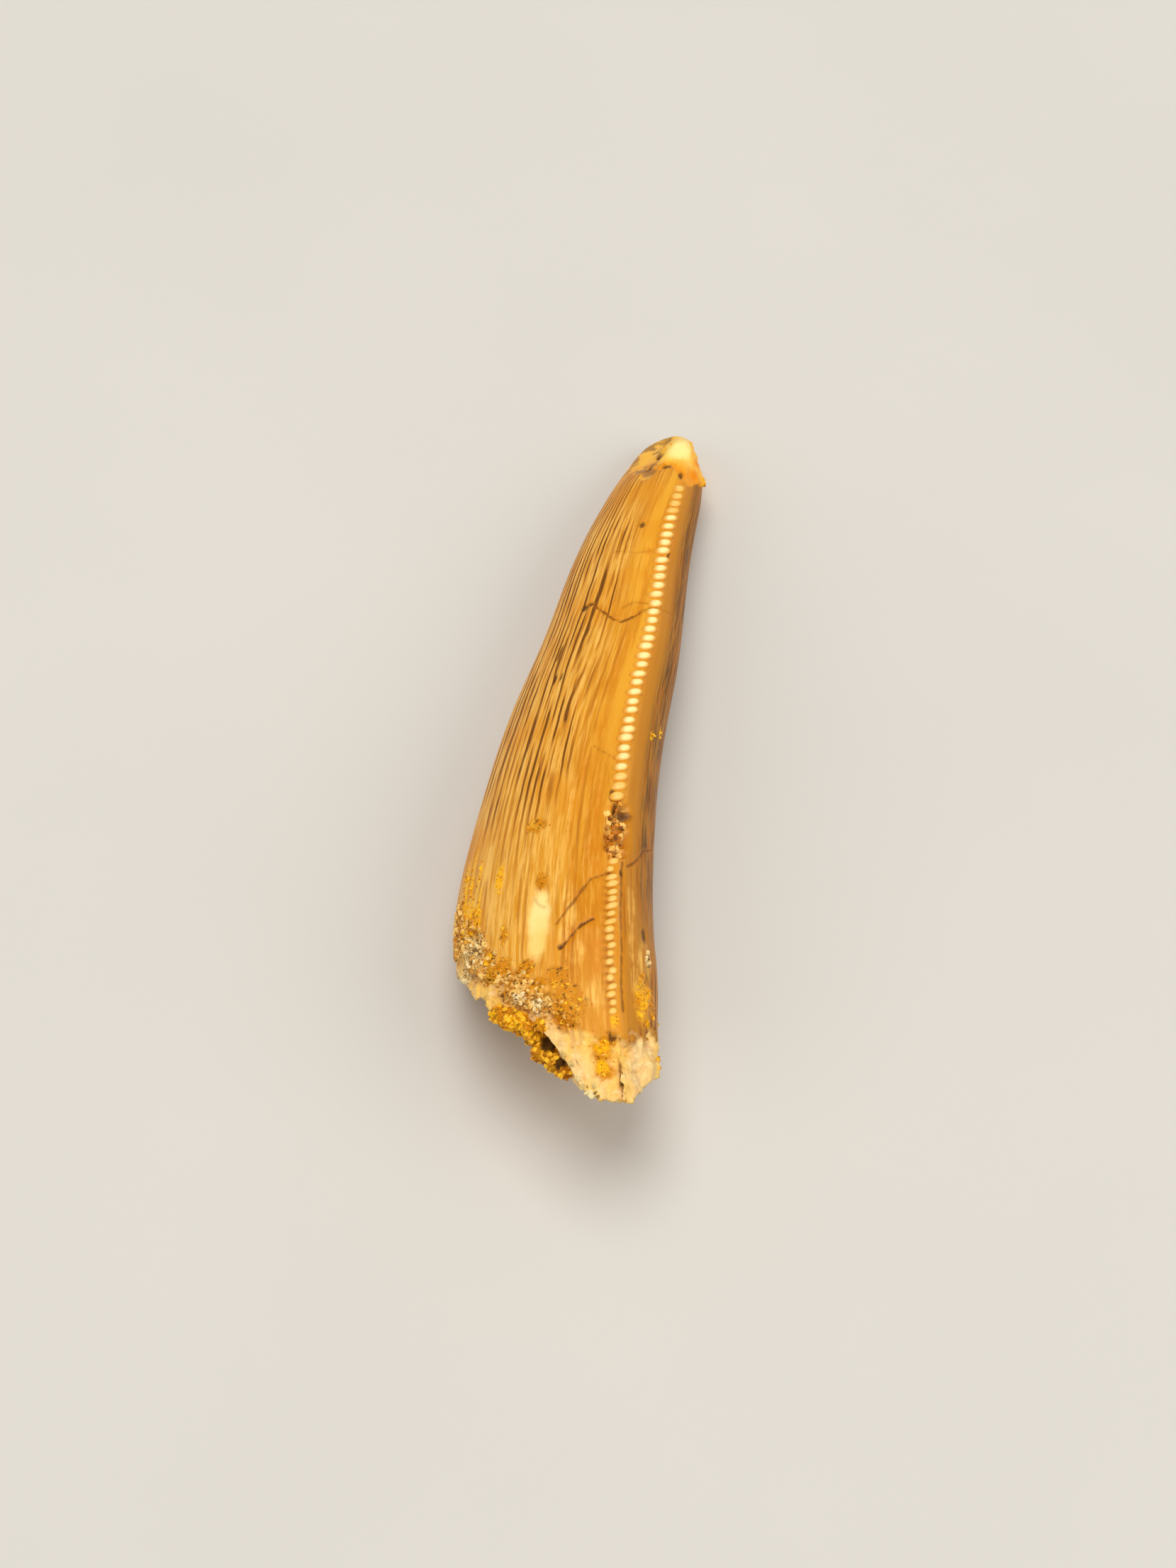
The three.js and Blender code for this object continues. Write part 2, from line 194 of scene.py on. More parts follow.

# Cracks, as how dark they are and their places. The last one is a dark line of painted shade along the right
# foot of the lower saw teeth.
CRACKS = (
    {"dark": 0.75, "path": (
        (12.8, 118), (12.7, 112), (13.0, 105), (13.35, 95), (13.65, 87), (13.75, 80), (13.5, 74), (13.1, 68),
    )},
    {"dark": 0.35, "path": ((13.0, 68), (12.6, 60), (12.4, 50), (12.2, 40))},
    {"dark": 0.25, "path": ((12.9, 82), (12.5, 74), (12.4, 62))},
    {"dark": 0.6, "path": ((28.1, 60), (28.5, 68.5), (29.6, 76), (30.8, 85.5))},
    {"dark": 0.9, "path": ((30.6, 67), (30.9, 72.5), (31.5, 78), (32.0, 83.5))},
    {"dark": 0.3, "path": ((21.2, 76), (21.5, 69), (21.75, 62))},
    {"dark": 0.2, "path": ((9.4, 104), (9.4, 82), (9.1, 68))},
    {"dark": 0.7, "path": ((27.4, 49), (26.6, 40), (25.9, 35), (24.7, 13))},
    {"dark": 0.7, "path": ((37.0, 56), (37.6, 58), (38.3, 58.5), (39.0, 58))},
    {"dark": 0.2, "path": ((29.4, 100), (29.75, 97), (29.9, 93))},
    # Painted shade along the right foot of the lower saw teeth, drawn as a crack.
    {"dark": 0.6, "path": ((27.3, 52.5), (29.0, 53), (30.5, 53.5), (32.0, 53), (33.6, 53.5), (35.0, 53))},
)
CRACK_REACH = 0.32

# The grain: its dark lines in two layers, its grooves, and how it wanders sideways.
GRAIN_LINES = (
    {"pitch": 0.36, "width": 0.26, "length": 4.6, "from": 0.36, "full": 0.6, "strength": 1.0},
    {"pitch": 0.23, "width": 0.32, "length": 2.6, "from": 0.44, "full": 0.68, "strength": 0.62},
)
GRAIN_GROOVE = {"pitch": 0.36, "width": 0.34, "depth": 0.022, "length": 3.2, "seed": 34}
GRAIN_BENDS = (
    {"sideways": 0.3, "pace": (0.6, 0.2), "seed": 31},
    {"sideways": 0.15, "pace": (2.4, 0.1), "seed": 32},
    {"sideways": 0.05, "pace": (4, 1.6), "seed": 33},
)
LINE_SPREAD = 17.3  # sets neighbouring lines far apart in the noise, so that each has its own
GRAIN_STRENGTH = {"tip": 0.75, "base_loss": 0.6, "top": 0.5, "right": 0.9, "low_right": 0.7, "low_left": 0.7}

# Soft steps on the tooth: the angle, distance or share where each starts and where it is done.
STEPS = {
    "keels": (1.8, 4.6), "break_calm": (60, 90), "relief": (0, 0.4), "face_relief": (0, 0.3),
    "enamel_end": (-0.06, 0.14), "crust_right": (70, 92), "crust_left": (172, 192), "crust_wide": (118, 146),
    "crust_top": (-0.5, 0.3), "crust_low": (0.5, 1.0), "crust_grains": (0.2, 0.8),
    "wear_end": (-0.08, 0.08), "facet_right": (42, 54), "facet_left": (90, 106), "facet_end": (2.3, 3.0),
    "chip_near": (0.1, 0.5), "chip": (0.15, 0.55), "crack_floor": (0.5, 1), "groove": (0.3, 0.7),
    "left_top": (76, 100), "left_low": (185, 200), "left_from": (3, 8), "left_tip": (84, 100),
    "grain_tip": (6, 10), "grain_base": (22, 27), "grain_top": (66, 78), "grain_top_from": (6, 16),
    "grain_right": (34, 48), "low_right": (50, 56), "low_right_from": (25, 28),
    "comb_from": (27.6, 28.2), "comb_to": (34.6, 35.2), "shaded_flank": (50, 57), "right": (34, 47),
    "underside": (-60, -20), "right_base": (27, 31), "calm": (19, 25), "keel_from": (3.9, 4.6),
    "rim": (0.2, 0.7), "wear_smooth": (112, 140), "root_smooth": (62, 85),
    "saw_turn": (6, 14), "saw_worn": (21.5, 23.8), "saw_width": (4, 9), "saw_height": (4.5, 7),
    "saw_dull_tip": (5, 7.5), "saw_dull_base": (26, 28), "saw_worn_end": (24, 26),
    "low_pit": (-0.2, 0.5), "high_pit": (5.5, 6.2),
}

# Textures: how fast they change over a millimetre, their seed and how many octaves they have.
TEXTURES = {
    "break": {"pace": 0.16, "seed": 21, "octaves": 3},
    "ragged": {"pace": 1.6, "seed": 41, "octaves": 4},
    "crumbly": {"pace": 5, "seed": 42, "octaves": 2},
    "lumps": {"pace": 2.6, "seed": 51, "octaves": 3},
    "grains": {"pace": 6.5, "seed": 52, "octaves": 1},
    "swell": {"pace": (0.5, 0.22), "seed": 53, "octaves": 1},
    "terraces": {"pace": 1.1, "seed": 54, "octaves": 3},
    "hollow": {"pace": 1.7, "seed": 61, "octaves": 4},
    "clods": {"pace": 1.9, "seed": 71, "octaves": 3},
    "crumbs": {"pace": 5, "seed": 72, "octaves": 1},
}
NOISE_STEPS = np.array((127.1, 311.7, 74.7))
NOISE_SEED_STEP = 53.3
NOISE_SPREAD = 43758.5453

# Strips and relief of the outer face. Depths are in millimetres.
COMB = {"angle": REAR_KEEL["angle"] + 3.4, "spread": 2.4}
KEEL_STRIP = {"angle": REAR_KEEL["angle"], "spread": 5.0}
CALM_STRIP = {"angle": 67, "spread": 9}
RIM_STRIP = {"angle": 76, "spread": 9}
CRUST_REACH = {"least": 1.2, "more": 1.0}
CRUST_ON_BARE = 0.6
CRUST_OVER_GRAIN = 0.7
RIGHT_BASE_LOSS = 0.6
RELIEF = {"swell": 0.06, "spall": 0.05, "crack": 0.07, "groove": 0.035, "dark": 0.05, "yellow": 0.05}
CRUST_LIFT = 0.02
ROUGHNESS = {
    "crust": {"lumps": 0.3, "grains": 0.16},
    "wear": {"lumps": 0.3},
    "bare": {"lumps": 0.35, "grains": 0.12, "terraces": 0.7},
    "chip": {"lumps": 0.7, "grains": 0.4},
}
WEAR_CALM = 0.8
ROOT_CALM = 0.7
TERRACES = 7
ROOT_DROP = 0.2
ROOT_SWELL = {"angle": 8, "spread": 32, "height": 0.18}
TIP_WEAR = {"angle": 95, "spread": 45, "depth": 0.16}
TIP_SWELL = {"angle": 13, "spread": 28, "height": 0.12}
TIP_TAPERS = (
    {"angle": 4, "spread": 34, "depth": 0.36, "until": 3.2},
    {"angle": 135, "spread": 32, "depth": 0.42, "until": 4.6},
)
TAPER_FULL = 0.4
CORNER_TRIM = {"angle": 186, "spread": 30, "depth": 0.2, "from": 28.6, "run": 2}
SIDE_HOLLOWS = (
    {"angle": 178, "spread": 30, "depth": 0.1, "middle": 29.2, "half": 1.4},
    {"angle": 5, "spread": 35, "depth": 0.06, "middle": 21.4, "half": 3.2},
    {"angle": 2, "spread": 30, "depth": -0.12, "middle": 32.6, "half": 1.8},
)

# Rows and columns of the tooth's skin, closest where the most detail is in view.
COLUMN_ANGLES = np.concatenate((
    np.arange(-90, -15, 3.3), np.arange(-15, 50, 1.1), np.arange(50, 66, 0.7),
    np.arange(66, 188, 0.8), np.arange(188, 269, 3.3),
))
TIP_ROWS_END = 3.0
TIP_ROWS_POWER = 1.7
CROWN_ROWS_END = 28.0
TIP_ROWS = 26
CROWN_ROWS = 188
ROOT_ROWS = 88
FACE_ROWS = 18
HOLLOW_ROWS = 12

# Sediment: the fill of the hollow, then lumps and pits as distance, angle, share of the tooth's radius and
# own radius. The pits and the lower lumps get painted shade, a dark colour where the sediment lies in
# shadow.
FILL_BOTTOM = HOLLOW_BOTTOM + 0.3
FILL_LIMIT = 35.8
FILL_MIDDLE = 32.6
FILL_SHARE = 0.72
FILL_DISH = 3
FILL_SINK = 0.5
FILL_COLUMNS = 120
FILL_ROWS = 24
FILL_SIDE_ROWS = 12
FILL_SIDE_FROM = 0.05
SPILL = {"angle": 108, "half": 24, "power": 4, "over": 0.5, "share": 0.1}
SEDIMENT_LUMPS = (
    (34.4, 126, 0.95, 0.32), (34.6, 121, 0.94, 0.4), (34.8, 115, 0.95, 0.44), (35.0, 109, 0.94, 0.44),
    (35.4, 103, 0.95, 0.4), (35.4, 96, 0.98, 0.26), (35.5, 102, 0.82, 0.32), (36.1, 99.5, 0.76, 0.36),
    (36.4, 93, 0.75, 0.34), (36.7, 89, 0.75, 0.34), (37.0, 86, 0.78, 0.34), (37.3, 83, 0.82, 0.3),
    (34.4, 118, 0.78, 0.5), (35.4, 95, 0.68, 0.6), (35.2, 88, 0.7, 0.6), (35.8, 89, 0.62, 0.6),
    (34.9, 104, 0.7, 0.6), (36.3, 86, 0.64, 0.5),
)
# Painted shade: the sediment is coloured near black round these pits between the lumps.
SHADED_PITS = ((35.95, 91.5, 0.82, 0.62), (36.9, 85, 0.86, 0.5))
PIT_CORE = 0.45
PIT_STRAY = 0.5
# Lumps lower down get half the pits' painted shade, as a browner colour.
LOW_LUMPS_FROM = 36.0
LOW_LUMPS_SHADE = 0.5
BALL_TURNS = np.radians(np.arange(0, 360, 30))
BALL_RINGS = np.radians(np.arange(60, -61, -30))
VOXEL = 0.1
CLOD_DEPTH = 0.42
CRUMB_DEPTH = 0.3
SEDIMENT_FLOOR = 0.05
GRAINS_FROM = 33
FEWEST_GRAINS = 0.25
LUMP_GRAINS_AREA = 0.5
PIT_GRAINS = {"full": 1.8, "loss": 2}

# Patterns of the finishes. Those along the grain have their pace across and along it, those in the solid
# have their scale, and both then have their detail and their roughness.
GRAIN_PATTERNS = {
    "bands": ((0.9, 0.05, 1), 3.0, 0.5),
    "veins": ((2.4, 0.11, 1), 3.0, 0.5),
    "fibres": ((9.0, 0.42, 1), 3.0, 0.6),
    "threads": ((21.0, 1.1, 1), 2.0, 0.6),
}
ENAMEL_PATTERNS = {
    "clouds": (260.0, 3.0, 0.5), "blots": (1100.0, 3.0, 0.6), "crumbs": (2600.0, 2.0, 0.6),
    "grit": (5200.0, 3.0, 0.6),
}
SAW_PATTERNS = {"clouds": (900.0, 2.0, 0.5)}
SEDIMENT_PATTERNS = {"clouds": (700.0, 3.0, 0.5), "crumbs": (2400.0, 3.0, 0.6)}
GRAIN_PIECE_PATTERNS = {"clouds": (2200.0, 2.0, 0.5)}
FLOOR_PATTERNS = {"clouds": (40.0, 4.0, 0.5)}


def coat(colour, *follows, cover=1.0, **where):
    """One coat of a finish, over the coats before it.

    It has a tone or coats of its own, patterns and marks that it follows as they are, the most that it
    covers, and patterns and marks where it sets in between two values.
    """
    return {"colour": colour, "follows": follows, "cover": cover, "where": where}


# Coats of the finishes, from the ground up.
GOLDEN_SIDE = (
    coat((222, 154, 42)),
    coat((242, 188, 90), fibres=(0.38, 0.6)),
    coat((190, 118, 16), threads=(0.54, 0.68), cover=0.45),
)
# Painted shade on the right flank beside the keel, with paler fibres.
SHADED_FLANK = (coat((180, 112, 8)), coat((206, 140, 34), "fibres"))
BROWN_SIDE = (
    coat((168, 110, 10)),
    coat((94, 58, 0), fibres=(0.38, 0.62)),
    coat((214, 156, 62), threads=(0.56, 0.7), cover=0.5),
)
PALE_SPALL = (coat((255, 230, 150)), coat((250, 206, 110), clouds=(0.42, 0.66)))
WORN_TIP = (
    coat((236, 152, 22)),
    coat((250, 190, 66), clouds=(0.38, 0.56)),
    coat((158, 110, 52), "left_tip", blots=(0.46, 0.6), cover=0.85),
    coat((232, 134, 2), "amber"),
)
# The worn facet of the tip, pale, with a painted highlight in its middle.
TIP_FACET = (coat((252, 200, 60)), coat((255, 244, 156), "facet_highlight"))
BARE_DENTINE = (
    coat((252, 203, 102)),
    coat((244, 206, 138), clouds=(0.4, 0.62)),
    coat((214, 182, 140), veins=(0.48, 0.62), cover=0.5),
    coat((255, 226, 168), crumbs=(0.48, 0.32), cover=0.6),
    coat((206, 136, 26), crumbs=(0.56, 0.76), cover=0.55),
    coat((232, 150, 20), "amber", cover=0.8),
)
OCHRE_CRUST = (
    coat((196, 122, 8)),
    coat((244, 198, 112), crumbs=(0.42, 0.56)),
    coat((232, 158, 18), clouds=(0.5, 0.62), cover=0.6),
    coat((120, 74, 10), grit=(0.5, 0.62)),
)
SUGAR_CRUST = (coat((104, 70, 20)), coat((232, 204, 144), grit=(0.4, 0.54)))
CHIP_RUBBLE = (
    coat((200, 118, 12)),
    coat((236, 180, 88), crumbs=(0.45, 0.62)),
    coat((84, 50, 18), grit=(0.46, 0.62), cover=0.55),
)
OCHRE_STAIN = (
    coat((212, 136, 6)),
    coat((246, 184, 52), crumbs=(0.5, 0.68)),
    coat((132, 82, 4), grit=(0.5, 0.66)),
)
ENAMEL_COATS = (
    coat((208, 134, 14)),
    coat((232, 167, 44), bands=(0.36, 0.6)),
    coat((204, 124, 6), veins=(0.46, 0.64), cover=0.75),
    coat((238, 172, 66), threads=(0.52, 0.36), cover=0.35),
    coat((240, 180, 80), "lively", fibres=(0.5, 0.64), cover=0.6),
    coat((196, 118, 8), "lively", fibres=(0.46, 0.34), cover=0.6),
    coat(GOLDEN_SIDE, "left"),
    coat((222, 146, 24), clouds=(0.5, 0.7), cover=0.7),
    coat(SHADED_FLANK, "shaded_flank"),
    coat(BROWN_SIDE, "right"),
    coat((212, 124, 2), "amber", fibres=(0.3, 0.7)),
    coat((184, 110, 10), lines=(0.04, 0.5), cover=0.75),
    coat((104, 60, 6), lines=(0.4, 0.9), cover=0.9),
    coat((222, 146, 34), "keel", cover=0.7),
    coat((168, 98, 6), "groove"),
    coat((244, 190, 92), "pale", fibres=(0.36, 0.6)),
    coat(PALE_SPALL, "spall"),
    coat(WORN_TIP, "wear"),
    coat(TIP_FACET, "facet"),
    coat(BARE_DENTINE, "bare"),
    coat(OCHRE_CRUST, "crust", cover=0.9),
    coat(SUGAR_CRUST, "sugar", cover=0.9),
    coat(CHIP_RUBBLE, "chip"),
    coat(OCHRE_STAIN, "ochre", grit=(0.26, 0.44)),
    coat((252, 188, 6), "yellow", grit=(0.34, 0.56)),
    coat((206, 122, 8), "crack_dark", crack=(0.3, 0.9), cover=0.4),
    coat((112, 66, 10), "crack_dark", crack_core=(0.98, 1.16)),
    coat((82, 48, 16), "dark", cover=0.85),
)
# Top of each saw tooth: a painted highlight that also stands for the paler worn tops, tinted on the duller
# teeth.
SAW_CREST_HIGHLIGHT = (
    coat((255, 240, 168)),
    coat((248, 202, 108), tint=(0.2, 0.6)),
    coat((255, 192, 48), tint=(0.8, 1.0)),
)
SAW_COATS = (
    coat((242, 168, 52)),
    coat(SAW_CREST_HIGHLIGHT, crest=(0.3, 0.95)),
    coat((246, 176, 40), clouds=(0.55, 0.8), cover=0.6),
    coat((238, 166, 50), aside=(0.05, 0.8)),
    coat((226, 152, 36), aside=(-0.5, -1.0), cover=0.7),
)
SEDIMENT_COATS = (
    coat((204, 130, 4)),
    coat((255, 196, 20), clouds=(0.42, 0.6)),
    coat((84, 46, 2), crumbs=(0.48, 0.66), cover=0.9),
    # Painted shade: browner on the lower lumps, near black in the pits.
    coat((164, 98, 8), pit=(0.0, 0.5), cover=0.7),
    coat((48, 26, 4), pit=(0.5, 1.0), cover=0.9),
)
FLOOR_COATS = (coat((204, 204, 204)), coat((212, 212, 212), "clouds"))

# Constant sockets of the shaders, and bump depths in metres.
ENAMEL_SOCKETS = {
    "Subsurface Weight": 0.12, "Subsurface Radius": (1.0, 0.5, 0.2), "Subsurface Scale": 0.0006,
    "Specular IOR Level": 0.18,
}
SAW_SOCKETS = {"Subsurface Weight": 0.2, "Subsurface Radius": (1.0, 0.6, 0.3), "Subsurface Scale": 0.0005}
SEDIMENT_SOCKETS = {"Specular IOR Level": 0.2}
BUMP = {"enamel": 0.00004, "saw": 0.00002, "sediment": 0.00008, "grain": 0.00003, "floor": 0.00001}

# Loose grains: the dark, middle and pale tone of each kind, and the pieces made of them, with the most
# grains to a square metre.
GRAIN_TONES = {
    "ochre_grains": ((168, 104, 8), (228, 152, 10), (255, 200, 24)),
    "brown_grains": ((120, 72, 4), (214, 148, 40), (248, 208, 120)),
    "pale_grains": ((140, 104, 44), (220, 184, 112), (248, 228, 174)),
    "glassy_grains": ((156, 126, 60), (210, 180, 106), (244, 226, 168)),
    "chip_crumbs": ((126, 76, 20), (230, 158, 48), (252, 208, 112)),
}
GRAIN_PIECES = (
    {"name": "sediment_grains", "slot": "sediment", "finish": "ochre_grains", "seed": 3, "spacing": 0.12,
     "most": 5.0e7, "smallest": 0.04, "largest": 0.13, "roundness": 2},
    {"name": "chip_crumbs", "slot": "enamel", "finish": "chip_crumbs", "seed": 21, "spacing": 0.16,
     "most": 2.0e7, "smallest": 0.06, "largest": 0.2, "roundness": 2},
    {"name": "crust_grains", "slot": "sediment", "finish": "brown_grains", "seed": 8, "spacing": 0.12,
     "most": 5.0e7, "smallest": 0.04, "largest": 0.13, "roundness": 2},
    {"name": "sugar_grains", "slot": "sediment", "finish": "pale_grains", "seed": 17, "spacing": 0.09,
     "most": 8.0e7, "smallest": 0.03, "largest": 0.11, "roundness": 2},
    {"name": "clay_grains", "slot": "sediment", "finish": "ochre_grains", "seed": 11, "spacing": 0.11,
     "most": 4.0e7, "smallest": 0.03, "largest": 0.1, "roundness": 1},
    {"name": "rim_crystals", "slot": "sediment", "finish": "glassy_grains", "seed": 14, "spacing": 0.17,
     "most": 3.0e7, "smallest": 0.08, "largest": 0.2, "roundness": 2},
)
CLAY_SHARES = {"yellow": 0.9, "ochre": 0.5}
GRAIN_SQUASH = ((0.7, 0.7, 0.6), (1.25, 1.25, 1.1))
GRAIN_TURN = ((0.0, 0.0, 0.0), (6.28, 6.28, 6.28))
GRAIN_UNEVEN = 0.00026
GRAIN_SWIRL = {"Scale": 9000.0, "Detail": 1.0}

# Floor, light and camera.
FLOOR_HALF = 1.5
CAMERA_AIM = (-0.95, -1.29, 3.6)
CAMERA_AZIMUTH = 9
CAMERA_ELEVATION = 60
CAMERA_DISTANCE = 133.1
CAMERA_VIEW = 30
CLIP_START = 0.01
PHOTO_SIZE = (1659, 2212)
AIM_PIXEL = (815, 1085)
LIGHTS = (
    {"name": "key", "at": (-120, 240, 2000), "size": 1330, "watts": 23.5},
    {"name": "left", "at": (-1440, -840, 1140), "size": 1440, "watts": 5.0},
    {"name": "right", "at": (1440, -360, 1200), "size": 1440, "watts": 11.5},
)
LIGHT_COLOUR = (1.0, 0.95, 0.86)
WORLD_TONE = (250, 243, 232)
WORLD_STRENGTH = 0.46


def apart(angle, other):
    """Signed difference of two angles."""
    return (angle - other + 180) % 360 - 180


def smooth(value, low, high):
    """0 up to low, 1 from high, and a soft step between."""
    share = np.clip((value - low) / (high - low), 0, 1)
    return share * share * (3 - 2 * share)


def rising(name, value):
    """The soft step of that name, from 0 to 1."""
    return smooth(value, *STEPS[name])


def falling(name, value):
    """The soft step of that name, from 1 to 0."""
    return 1 - smooth(value, *STEPS[name])


def growing(least, name, value):
    """The soft step of that name, from a least share to 1."""
    return least + (1 - least) * smooth(value, *STEPS[name])


def bell(value):
    return np.exp(-(value**2))


def hump(form, angle):
    """1 at the angle of a form, falling away over its spread."""
    return bell(apart(angle, form["angle"]) / form["spread"])


def lattice(corners, seed):
    """One fixed value from 0 to 1 for each whole-number corner."""
    wave = (corners * NOISE_STEPS[:corners.shape[-1]]).sum(axis=-1)
    value = np.sin(wave + seed * NOISE_SEED_STEP) * NOISE_SPREAD
    return value - np.floor(value)


def noise(points, seed):
    """Soft noise from 0 to 1 over points in two or three dimensions."""
    cells = np.floor(points)
    shares = smooth(points - cells, 0, 1)
    total = 0
    for corner in itertools.product((0, 1), repeat=points.shape[-1]):
        weight = np.where(corner, shares, 1 - shares).prod(axis=-1)
        total = total + weight * lattice(cells + corner, seed)
    return total


def fractal(points, pace, seed, octaves):
    """Noise from 0 to 1 with finer and weaker noise on top."""
    total = 0
    weight = 0
    for octave in range(octaves):
        total = total + noise(points * pace * 2**octave, seed + octave) / 2**octave
        weight += 1 / 2**octave
    return total / weight


def texture(name, points):
    """A texture from -0.5 to 0.5 over points."""
    return fractal(points, **TEXTURES[name]) - 0.5


def edge_at(edge, angle):
    """The distance of an edge at an angle."""
    angles = np.array([corner for corner, _ in edge])
    distances = np.array([distance for _, distance in edge])
    return np.interp(angle % 360, angles, distances, period=360)


def half_width(distance):
    share = np.clip(distance / CROWN_LENGTH, 0, 1)
    return TIP_HALF_WIDTH + (BASE_HALF_WIDTH - TIP_HALF_WIDTH) * share**FLARE_POWER


def dome(distance):
    short = np.clip(1 - distance / DOME_LENGTH, 0, 1)
    return (1 - short**DOME_POWER) ** (1 / DOME_POWER)


def section_share(angle, keels=1.0):
    """Radius of the cross-section as a share of the half-width, with its keels in part or in full."""
    turned = np.radians(angle - OVAL_TILT)
    share = OVAL_LONG * OVAL_SHORT / np.hypot(OVAL_SHORT * np.cos(turned), OVAL_LONG * np.sin(turned))
    for keel in (REAR_KEEL, FRONT_KEEL):
        share = share + keels * keel["height"] * np.exp(-abs(apart(angle, keel["angle"])) / keel["spread"])
    return share


def outer_radius(distance, angle):
    return section_share(angle, rising("keels", distance)) * half_width(distance) * dome(distance)


def break_distance(angle):
    ragged = texture("break", np.stack((angle, np.zeros_like(angle)), -1))
    calm = rising("break_calm", abs(apart(angle, BREAK_MIDDLE)))
    return edge_at(BREAK_EDGE, angle) + (BREAK_DEPTH - BREAK_CALM * calm) * ragged


def hollow_radius(distance, angle):
    mouth = break_distance(angle) - BREAK_UNDERCUT
    depth = np.clip((distance - HOLLOW_BOTTOM) / (mouth - HOLLOW_BOTTOM), 0, 1)
    return HOLLOW_SHARE * np.sqrt(depth) * section_share(angle) * half_width(distance)


def place(distance, angle, radius):
    """Points in millimetres, from distance, angle and radius."""
    t = distance / AXIS_LENGTH
    side = 1 - t
    tip, near, far, base = AXIS_SIDEWAYS
    x = side**3 * tip + 3 * t * side**2 * near + 3 * t**2 * side * far + t**3 * base
    slope = 3 * side**2 * (near - tip) + 6 * t * side * (far - near) + 3 * t**2 * (base - far)
    for bend in AXIS_BENDS:
        x = x + bend["sideways"] * bell((distance - bend["middle"]) / bend["half"])
    heading = np.arctan2(-slope, AXIS_LENGTH)
    across = radius * np.cos(np.radians(angle))
    height = radius * np.sin(np.radians(angle)) + (OVAL_HALF_HEIGHT - FLAT_DEPTH) * half_width(distance)
    y = TIP_Y - distance + TIP_STRETCH["length"] * bell(distance / TIP_STRETCH["half"])
    points = (x + across * np.cos(heading), y - across * np.sin(heading), height)
    return np.stack(np.broadcast_arrays(*points), axis=-1)


def axis_point(distance):
    """One point on the axis, as a list of points."""
    return place(np.array([distance]), np.zeros(1), np.zeros(1))


def grain_places(distance, angle):
    """Places across and along the grain, in millimetres, with their seam on the underside."""
    return np.stack((np.radians(apart(angle, TOP_ANGLE)) * MEAN_RADIUS, distance), -1)


def spotted(spots, distance, angle, stray, core):
    """How strongly any of the spots marks a place: full in its core, then fading over a ragged border."""
    strongest = np.zeros_like(distance)
    for middle, spot_angle, half_length, half_across in spots:
        across = np.radians(apart(angle, spot_angle)) * half_width(distance)
        reach = np.hypot((distance - middle) / half_length, across / half_across)
        strongest = np.maximum(strongest, 1 - smooth(reach + stray, core, SPOT_END))
    return strongest


def cracked(distance, angle, stray):
    """How near a place lies to a crack, from 0 to 1, and how dark that crack is."""
    nearest = np.zeros_like(distance)
    dark = np.zeros_like(distance)
    for crack in CRACKS:
        for (start, start_angle), (end, end_angle) in zip(crack["path"], crack["path"][1:]):
            along = distance - start
            across = np.radians(apart(angle, start_angle)) * half_width(distance)
            run = end - start
            rise = np.radians(apart(end_angle, start_angle)) * half_width(distance)
            share = np.clip((along * run + across * rise) / (run * run + rise * rise), 0, 1)
            away = np.hypot(along - share * run, across - share * rise) + stray
            near = np.clip(1 - away / CRACK_REACH, 0, 1)
            dark = np.where(near > nearest, crack["dark"], dark)
            nearest = np.maximum(nearest, near)
    return nearest, dark


def grain_lanes(distance, angle):
    """The place across the grain, in millimetres, bent so that the grain wanders."""
    places = grain_places(distance, angle)
    lanes = places[..., 0]
    for bend in GRAIN_BENDS:
        lanes = lanes + bend["sideways"] * noise(places * bend["pace"], bend["seed"])
    return lanes


def grain_grooves(distance, angle):
    """How deep the grain lies at a place, from 0 to 1: shallow grooves that start and end."""
    lane = grain_lanes(distance, angle) / GRAIN_GROOVE["pitch"]
    line = np.floor(lane)
    own = np.stack((line * LINE_SPREAD, distance / GRAIN_GROOVE["length"]), -1)
    presence = rising("groove", noise(own, GRAIN_GROOVE["seed"]))
    return (1 - smooth(abs(lane - line - 0.5), 0, GRAIN_GROOVE["width"])) * presence


def grain_strength(distance, angle, left):
    """How strongly the grain shows: most on the left and the right, less low down and least on top."""
    base = 1 - GRAIN_STRENGTH["base_loss"] * rising("grain_base", distance)
    top = rising("grain_top", angle) * (1 - left) * rising("grain_top_from", distance)
    low_right = falling("low_right", angle) * rising("low_right_from", distance)
    return np.max((
        left * growing(GRAIN_STRENGTH["tip"], "grain_tip", distance) * base,
        GRAIN_STRENGTH["top"] * top,
        GRAIN_STRENGTH["right"] * falling("grain_right", angle),
        GRAIN_STRENGTH["low_right"] * low_right,
        GRAIN_STRENGTH["low_left"] * rising("left_low", angle),
    ), axis=0)


